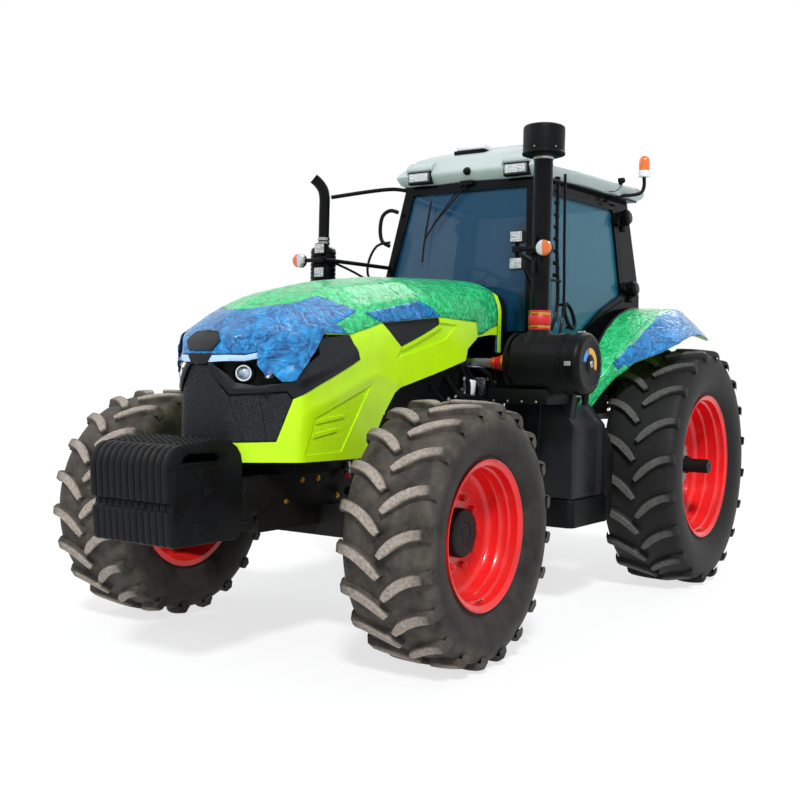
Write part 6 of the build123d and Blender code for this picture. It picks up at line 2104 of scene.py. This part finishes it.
def cushion(name, low, high, puff_mm, lean=0.0):
    """A padded cushion: a full, rounded block with a sewn edge."""
    low, high = Vector(low), Vector(high)
    bm = bmesh.new()
    bmesh.ops.create_cube(bm, size=2.0)
    bmesh.ops.subdivide_edges(bm, edges=bm.edges, cuts=8, use_grid_fill=True)
    middle, half = (low + high) / 2, (high - low) / 2
    thin = min(range(3), key=lambda axis: half[axis])
    for vert in bm.verts:
        p = vert.co.copy()
        full = 1.0
        for axis in range(3):
            if axis != thin:
                full *= 1 - abs(p[axis]) ** 6
        q = Vector((p.x * half.x, p.y * half.y, p.z * half.z))
        q[thin] *= 0.72 + 0.28 * full
        if abs(p[thin]) > 0.9:
            q[thin] += math.copysign(puff_mm * MM * full, p[thin])
        q.x -= lean * (q.z + half.z)
        vert.co = middle + q
    bm.faces.ensure_lookup_table()
    verts = [v.co.copy() for v in bm.verts]
    faces = [[v.index for v in f.verts] for f in bm.faces]
    bm.free()
    obj = mesh_object(name, verts, faces, "cloth", smooth_angle=70)
    modify(obj, "SUBSURF", levels=1, render_levels=1)
    apply_modifiers(obj, 70)
    return obj


def build_seat():
    """The seat, its base, arm rests and side console."""
    black = "black_plastic"
    base = box_piece("seat_base", at(420, -160, 1462), at(720, 160, 1750), black, 18, 3)
    placed(base, "chassis", "black_plastic", "seat")
    seat = cushion("seat_cushion", at(385, -245, 1758), at(855, 245, 1872), 8)
    back = cushion("seat_back", at(405, -235, 1872), at(500, 235, 2400), 14, 0.12)
    head = cushion("seat_headrest", at(352, -130, 2400), at(432, 130, 2552), 8, 0.1)
    for obj in (seat, back, head):
        placed(obj, "chassis", "seat_cloth")
    arms = [box_piece("arm", at(470, side * 300 - 45, 2010), at(830, side * 300 + 45, 2070), black, 16, 3)
            for side in (1, -1)]
    arms += [box_piece("post", at(480, side * 290 - 20, 1800), at(530, side * 290 + 20, 2020), black, 6)
             for side in (1, -1)]
    arms.append(box_piece("side_console", at(480, -560, 1462), at(1000, -330, 1960), "lining", 20, 3))
    placed(joined("seat_arms", arms), "chassis", "black_plastic")


def build_dash():
    """The dash, its shroud and display, and the steering wheel on its column."""
    black = "black_plastic"
    line = [(1200, 1462), (1435, 1462), (1435, 2128), (1330, 2128), (1215, 2060), (1205, 1900)]
    dash = prism("dash", [at(x, -190, z) for x, z in line], LEFT, 0.380, black, 16, 3)
    line = [(1300, 2060), (1475, 2060), (1475, 2210), (1440, 2226), (1360, 2214), (1300, 2150)]
    shroud = prism("shroud", [at(x, -560, z) for x, z in line], LEFT, 1.120, "dash_blue", 14, 3)
    display = box_piece("display", at(1170, 260, 2150), at(1195, 430, 2290), black, 8)
    arm = tube("display_arm", [at(1300, 340, 2100), at(1220, 340, 2180), at(1190, 345, 2220)], 9, black,
               10)
    axis = Vector((-100, 0, 190)).normalized()
    wheel_centre = at(1130, 0, 2290)
    column = tube("column", [at(1290, 0, 1985), at(1180, 0, 2196), at(1133, 0, 2284)], [34, 30, 24],
                  black, 18, 0)
    first, second = frame_of(axis)
    rim = []
    for k in range(13):
        turn = 2 * math.pi * k / 12
        rim.append(wheel_centre + (first * math.cos(turn) + second * math.sin(turn)) * 0.190)
    ring = tube("ring", rim, 15, black, 12, 4, caps=False)
    spokes = []
    for turn in (0.3, 2.4, 4.5):
        end = wheel_centre + (first * math.cos(turn) + second * math.sin(turn)) * 0.184
        spokes.append(tube("spoke", [wheel_centre - axis * 0.012, end], 10, black, 8, 0))
    hub = lathe("hub", [(-30, 0), (-30, 40), (6, 48), (14, 40), (18, 0)], wheel_centre, axis, 24, black,
                30)
    placed(joined("steering_wheel_and_dash", [dash, shroud, display, arm, column, ring, *spokes, hub]),
           "chassis", "black_plastic", "console")


def build_lining():
    """The headliner, the floor mat and the shelf behind the seat."""
    trim = [box_piece("headliner", at(80, -560, 2985), at(1300, 560, 3012), "lining", 10),
            box_piece("floor_mat", at(380, -560, 1460), at(1440, 560, 1472), "black_plastic", 3),
            box_piece("rear_shelf", at(40, -640, 1940), at(180, 640, 1985), "lining", 12)]
    placed(joined("cab_lining", trim), "chassis", "black_plastic")


def pillar_cover(name):
    black = "black_plastic"
    parts = []
    for x, y, z in ((148, 822, 2298), (150, 748, 2865)):
        parts.append(lathe("cover", [(-30, 0), (-30, 58), (4, 66), (34, 62), (52, 44), (56, 0)],
                           at(x, y, z), (0, 1, 0.12), 8, "gloss_black", 20))
        parts.append(tube("stub", [at(x, y - 10, z - 60), at(x + 4, y - 6, z - 105)], 20, black, 10,
                          0))
    return joined(name, parts)


def door_grip(name):
    black = "black_plastic"
    y = 742
    ring = []
    for k in range(15):
        turn = 2 * math.pi * k / 14
        along, across = 0.112 * math.cos(turn), 0.052 * math.sin(turn)
        ring.append(at(1120, y, 2025) + Vector((along * 0.72 + across * 0.69, 0,
                                                along * 0.69 - across * 0.72)))
    loop = tube("loop", ring, 14, "gloss_black", 12, 3, caps=False)
    feet = [tube("foot", [place + Vector((0, -0.060, 0)), place], 11, black, 10, 0)
            for place in (ring[0], ring[7])]
    return joined(name, [loop, *feet])


def pillar_rail(name):
    black = "black_plastic"
    loop = tube("loop", [at(1420, 575, 2820), at(1440, 640, 2835), at(1462, 692, 2790),
                         at(1466, 708, 2690), at(1462, 690, 2600), at(1455, 625, 2560)], 15, black,
                12)
    long_loop = tube("long", [at(1448, 622, 2590), at(1500, 712, 2560), at(1530, 765, 2440),
                              at(1525, 765, 2320), at(1500, 668, 2262)], 10, black, 10)
    return joined(name, [loop, long_loop])


def build_front_fittings():
    """The long mirror arm and the wiper."""
    black = "black_plastic"
    bar = tube("mirror_arm", [at(1310, -560, 3000), at(1400, -640, 3006), at(1560, -750, 2972),
                              at(1800, -932, 2905)], 15, black, 14)
    placed(bar, "chassis", "black_plastic")
    blade = tube("blade", [at(1383, -301, 2889), at(1420, -306, 2730), at(1452, -310, 2580),
                           at(1486, -304, 2424)], 7, black, 8)
    arms = [tube("arm", [at(1352, 8, 3028), at(1362, -19, 2985), at(1420, -231, 2728),
                         at(1446, -306, 2600)], 6, black, 8, 2),
            tube("arm", [at(1352, -40, 3026), at(1366, -66, 2975), at(1424, -262, 2700)], 5, black, 8,
                 2)]
    motor = box_piece("motor", at(1338, -70, 2996), at(1362, 40, 3030), black, 6)
    placed(joined("wiper", [blade, *arms, motor]), "chassis", "black_plastic")


def build_conduits():
    """Two conduits clipped beside the stack."""
    black = "black_plastic"
    conduits = [tube("conduit", [at(1612, 858, 2940), at(1612, 862, 2500), at(1614, 880, 2100),
                                 at(1700, 880, 1900)], 13, "gloss_black", 12),
                tube("conduit", [at(1590, 902, 2960), at(1586, 906, 2500), at(1590, 915, 2080),
                                 at(1680, 930, 1850)], 10, "gloss_black", 12),
                tube("tie", [at(1600, 890, 2900), at(1840, 880, 2900)], 9, black, 8, 0),
                tube("tie", [at(1600, 890, 2230), at(1840, 880, 2230)], 9, black, 8, 0)]
    for z in range(2260, 2930, 82):
        conduits.append(box_piece("clip", at(1596, 842, z), at(1630, 872, z + 26), black, 4))
    placed(joined("stack_conduits", conduits), "chassis", "black_plastic")


class BuildCab(bpy.types.Operator):
    """Seat, wheel, dash and lining, and the fittings outside the cab"""
    bl_idname = "tractor.cab"
    bl_label = "Cab"

    def execute(self, context):
        build_seat()
        build_dash()
        build_lining()
        both("pillar_cover", pillar_cover, "chassis", "black_plastic")
        both("door_grip", door_grip, "door_SIDE_leaf", "black_plastic")
        both("pillar_rail", pillar_rail, "chassis", "black_plastic")
        build_front_fittings()
        build_conduits()
        return {"FINISHED"}


# ---------------------------------------------------------------- exhaust, engine bay and frame


EXHAUST = (1925, -900)    # upright line of the exhaust: ahead of the rear axle, y


class BuildExhaust(bpy.types.Operator):
    """Silencer in its slotted shield, and the bent tail pipe"""
    bl_idname = "tractor.exhaust"
    bl_label = "Exhaust"

    def execute(self, context):
        place = at(*EXHAUST, 0)
        body = [(1700, 0), (1700, 60), (1715, 86), (1730, 92)]
        for k in range(24):
            z = 1745 + k * 31
            body += [(z, 92), (z + 3, 95), (z + 20, 95), (z + 23, 92)]
        body += [(2492, 92), (2505, 80), (2515, 48), (2515, 0)]
        shield = lathe("shield", body, place, UP, 40, "gloss_black", 30)
        tail = tube("tail", [at(*EXHAUST, 2500), at(*EXHAUST, 2800), at(*EXHAUST, 2870),
                             at(1933, -908, 2935), at(1956, -931, 2985), at(1985, -960, 3020)], 40,
                    "gloss_black", 24)
        feed = tube("feed", [at(*EXHAUST, 1720), at(1925, -890, 1600), at(1925, -840, 1562),
                             at(1925, -560, 1560), at(1925, -292, 1560)], 40, "black_metal", 20)
        placed(joined("exhaust_pipe", [shield, tail, feed]), "chassis", "black_metal", "exhaust")
        bands = [lathe("band", [(z, 40), (z, 46), (z + 22, 46), (z + 22, 40)], place, UP, 32,
                       "steel", 30) for z in (2528, 2560)]
        placed(joined("exhaust_bands", bands), "chassis", "steel")
        return {"FINISHED"}


def bay_hoses(name):
    runs = [([(1990, 300, 1700), (1960, 345, 1610), (1900, 360, 1520), (1880, 345, 1400)], 17),
            ([(1860, 300, 1640), (1830, 350, 1560), (1770, 362, 1470), (1760, 340, 1380)], 13),
            ([(1700, 300, 1640), (1650, 372, 1590), (1600, 380, 1500), (1610, 350, 1390)], 19),
            ([(2100, 300, 1560), (2060, 345, 1480), (1960, 372, 1430), (1700, 380, 1418),
              (1480, 360, 1430)], 21),
            ([(2300, 300, 1500), (2240, 335, 1440), (2150, 340, 1400), (2000, 330, 1384)], 11),
            ([(1545, 300, 1690), (1520, 352, 1600), (1500, 360, 1480), (1520, 340, 1380)], 11)]
    return joined(name, [tube("hose", [at(*place) for place in line], radius, "black_plastic", 12)
                         for line, radius in runs])


def bay_fittings(name):
    parts = [lathe("can", [(0, 0), (0, 46), (10, 52), (120, 52), (134, 44), (138, 0)],
                   at(1690, 318, 1430), UP, 24, "clear_wrap", 40),
             lathe("filter", [(0, 0), (0, 40), (8, 44), (100, 44), (110, 36), (112, 0)],
                   at(1830, 322, 1440), (0, 0.1, 1), 24, "white_plastic", 40),
             box_piece("box", at(1560, 455, 1398), at(1600, 510, 1446), "white_plastic", 5)]
    for k, (x, y, z) in enumerate(((1950, 352, 1560), (1980, 348, 1480), (2040, 340, 1440),
                                   (2130, 338, 1420), (1640, 370, 1560), (1520, 356, 1530),
                                   (1880, 352, 1450))):
        parts.append(lathe("nut", [(-12, 0), (-12, 15), (12, 15), (12, 0)], at(x, y, z),
                           (0.3, 0.4, 1.0 - 0.2 * (k % 3)), 6, "steel", 20))
    return joined(name, parts)


def frame_bolts(name):
    heads = ((3570, 961), (3424, 963), (3707, 850), (3240, 850), (3000, 960), (2860, 850))
    return joined(name, [bolt("bolt", at(x, 260, z), LEFT, 11, "zinc") for x, z in heads])


def frame_coupling(name):
    parts = [lathe("block", [(-34, 0), (-34, 26), (10, 26), (10, 20), (34, 20), (34, 0)],
                   at(3200, 300, 1010), (0.2, 0.3, -1), 16, "steel", 30),
             lathe("sleeve", [(30, 0), (30, 17), (62, 17), (62, 0)], at(3200, 300, 1010),
                   (0.2, 0.3, -1), 16, "silicone", 30)]
    coil = []
    for k in range(57):
        turn = 2 * math.pi * k / 8
        coil.append(at(3150 + k * 1.6, 330 + 22 * math.cos(turn), 880 + 22 * math.sin(turn)))
    parts.append(tube("spring", coil, 4, "black_metal", 6, 0))
    return joined(name, parts)


class BuildEngineBay(bpy.types.Operator):
    """Hoses, wrapped fittings and bolts around the engine and the front frame"""
    bl_idname = "tractor.engine_bay"
    bl_label = "Engine bay"

    def execute(self, context):
        both("bay_hoses", bay_hoses, "chassis", "black_plastic")
        both("bay_fittings", bay_fittings, "chassis", "steel")
        both("frame_bolts", frame_bolts, "chassis", "steel")
        both("frame_coupling", frame_coupling, "chassis", "steel")
        return {"FINISHED"}


def build_couplers():
    """Two rows of capped couplers on their bank."""
    bank = box_piece("coupler_bank", at(-408, -236, 1176), at(-356, 236, 1296), "cast_black", 8)
    placed(bank, "chassis", "cast_dark")
    for row, (z, cap) in enumerate(((1206, "silicone"), (1264, "blue_mark"))):
        nose = [(0, 0), (0, 21), (16, 21), (16, 17), (30, 17), (30, 20), (44, 18), (46, 0)]
        coupler = lathe(f"couplers_{row}", nose, at(-404, -190, z), BACK, 16, cap, 30)
        repeated(coupler, cap, 6, step=(0, 0.076, 0))
        placed(coupler, "chassis", "red_silicone")


def build_shaft_guard():
    """The hood over the power take-off, its plate and bolts."""
    metal = "black_metal"
    guard = [(-122, 770), (-122, 862), (-96, 892), (96, 892), (122, 862), (122, 770)]
    inside = [(y * 0.93, z - 8 if z > 800 else z) for y, z in guard]
    hood = prism("shaft_guard", [at(-520, y, z) for y, z in guard + inside[::-1]], AHEAD, 0.164, metal, 0)
    placed(hood, "chassis", "black_metal")
    plate = box_piece("guard_plate", at(-372, -135, 700), at(-356, 135, 905), metal, 4)
    row = bolt("guard_bolts", at(-371, -118, 888), BACK, 8, "zinc")
    repeated(row, "zinc", 2, step=(0, 0.236, 0))
    placed(plate, "chassis", "black_metal")
    placed(row, "chassis", "steel")


def build_case_bolts():
    """A column of bolts at each side of the rear case."""
    for name, y in (("case_bolts", -255), ("case_bolts_right", 255)):
        row = bolt(name, at(-358, y, 620), BACK, 11, "steel")
        repeated(row, "steel", 6, step=(0, 0, 0.128))
        placed(row, "chassis", "steel")


def ball_ring(name):
    return lathe(name, [(-20, 19.5), (-20, 30), (-16, 34), (16, 34), (20, 30), (20, 19.5)],
                 at(-1152, 460, 560), LEFT, 28, "steel", 40)


def rear_lamp(name):
    shell = box_piece("shell", at(-112, 372, 3036), at(-50, 492, 3098), "black_plastic", 8)
    pane = box_piece("pane", at(-117, 382, 3046), at(-110, 482, 3088), "led_lens", 2)
    return joined(name, [shell, pane])


class BuildRear(bpy.types.Operator):
    """Hydraulic couplers, shaft guard, hitch ball rings and rear work lamps"""
    bl_idname = "tractor.rear"
    bl_label = "Rear fittings"

    def execute(self, context):
        build_couplers()
        build_shaft_guard()
        build_case_bolts()
        both("ball_ring", ball_ring, "link_SIDE", "steel")
        both("rear_lamp", rear_lamp, "chassis", "black_plastic")
        return {"FINISHED"}


OPERATORS = [
    SetStage,
    PaintFinishes,
    BuildTyres,
    BuildWheels,
    BuildHood,
    LayFilm,
    BuildBallast,
    BuildIntake,
    BuildTanks,
    BuildRoof,
    BuildLamps,
    BuildFenders,
    BuildCowl,
    BuildCab,
    BuildExhaust,
    BuildEngineBay,
    BuildRear,
]
GROUPS = [
    PaintColours,
    TyreSizes,
    BallastSizes,
]


class TractorPanel(bpy.types.Panel):
    bl_label = "Farm Tractor"
    bl_idname = "VIEW3D_PT_tractor"
    bl_space_type = "VIEW_3D"
    bl_region_type = "UI"
    bl_category = "Tractor"

    def draw(self, context):
        for operator in OPERATORS:
            self.layout.operator(operator.bl_idname)
        scene = context.scene
        for group in (scene.tractor_paint, scene.tractor_tyres, scene.tractor_ballast):
            for name in group.__annotations__:
                self.layout.prop(group, name)


def register():
    for kind in (*GROUPS, *OPERATORS, TractorPanel):
        bpy.utils.register_class(kind)
    bpy.types.Scene.tractor_paint = PointerProperty(type=PaintColours)
    bpy.types.Scene.tractor_tyres = PointerProperty(type=TyreSizes)
    bpy.types.Scene.tractor_ballast = PointerProperty(type=BallastSizes)


def unregister():
    del bpy.types.Scene.tractor_paint
    del bpy.types.Scene.tractor_tyres
    del bpy.types.Scene.tractor_ballast
    for kind in (TractorPanel, *reversed(OPERATORS), *reversed(GROUPS)):
        bpy.utils.unregister_class(kind)


def main():
    register()
    for operator in OPERATORS:
        group, name = operator.bl_idname.split(".")
        getattr(getattr(bpy.ops, group), name)()


if __name__ == "__main__":
    main()
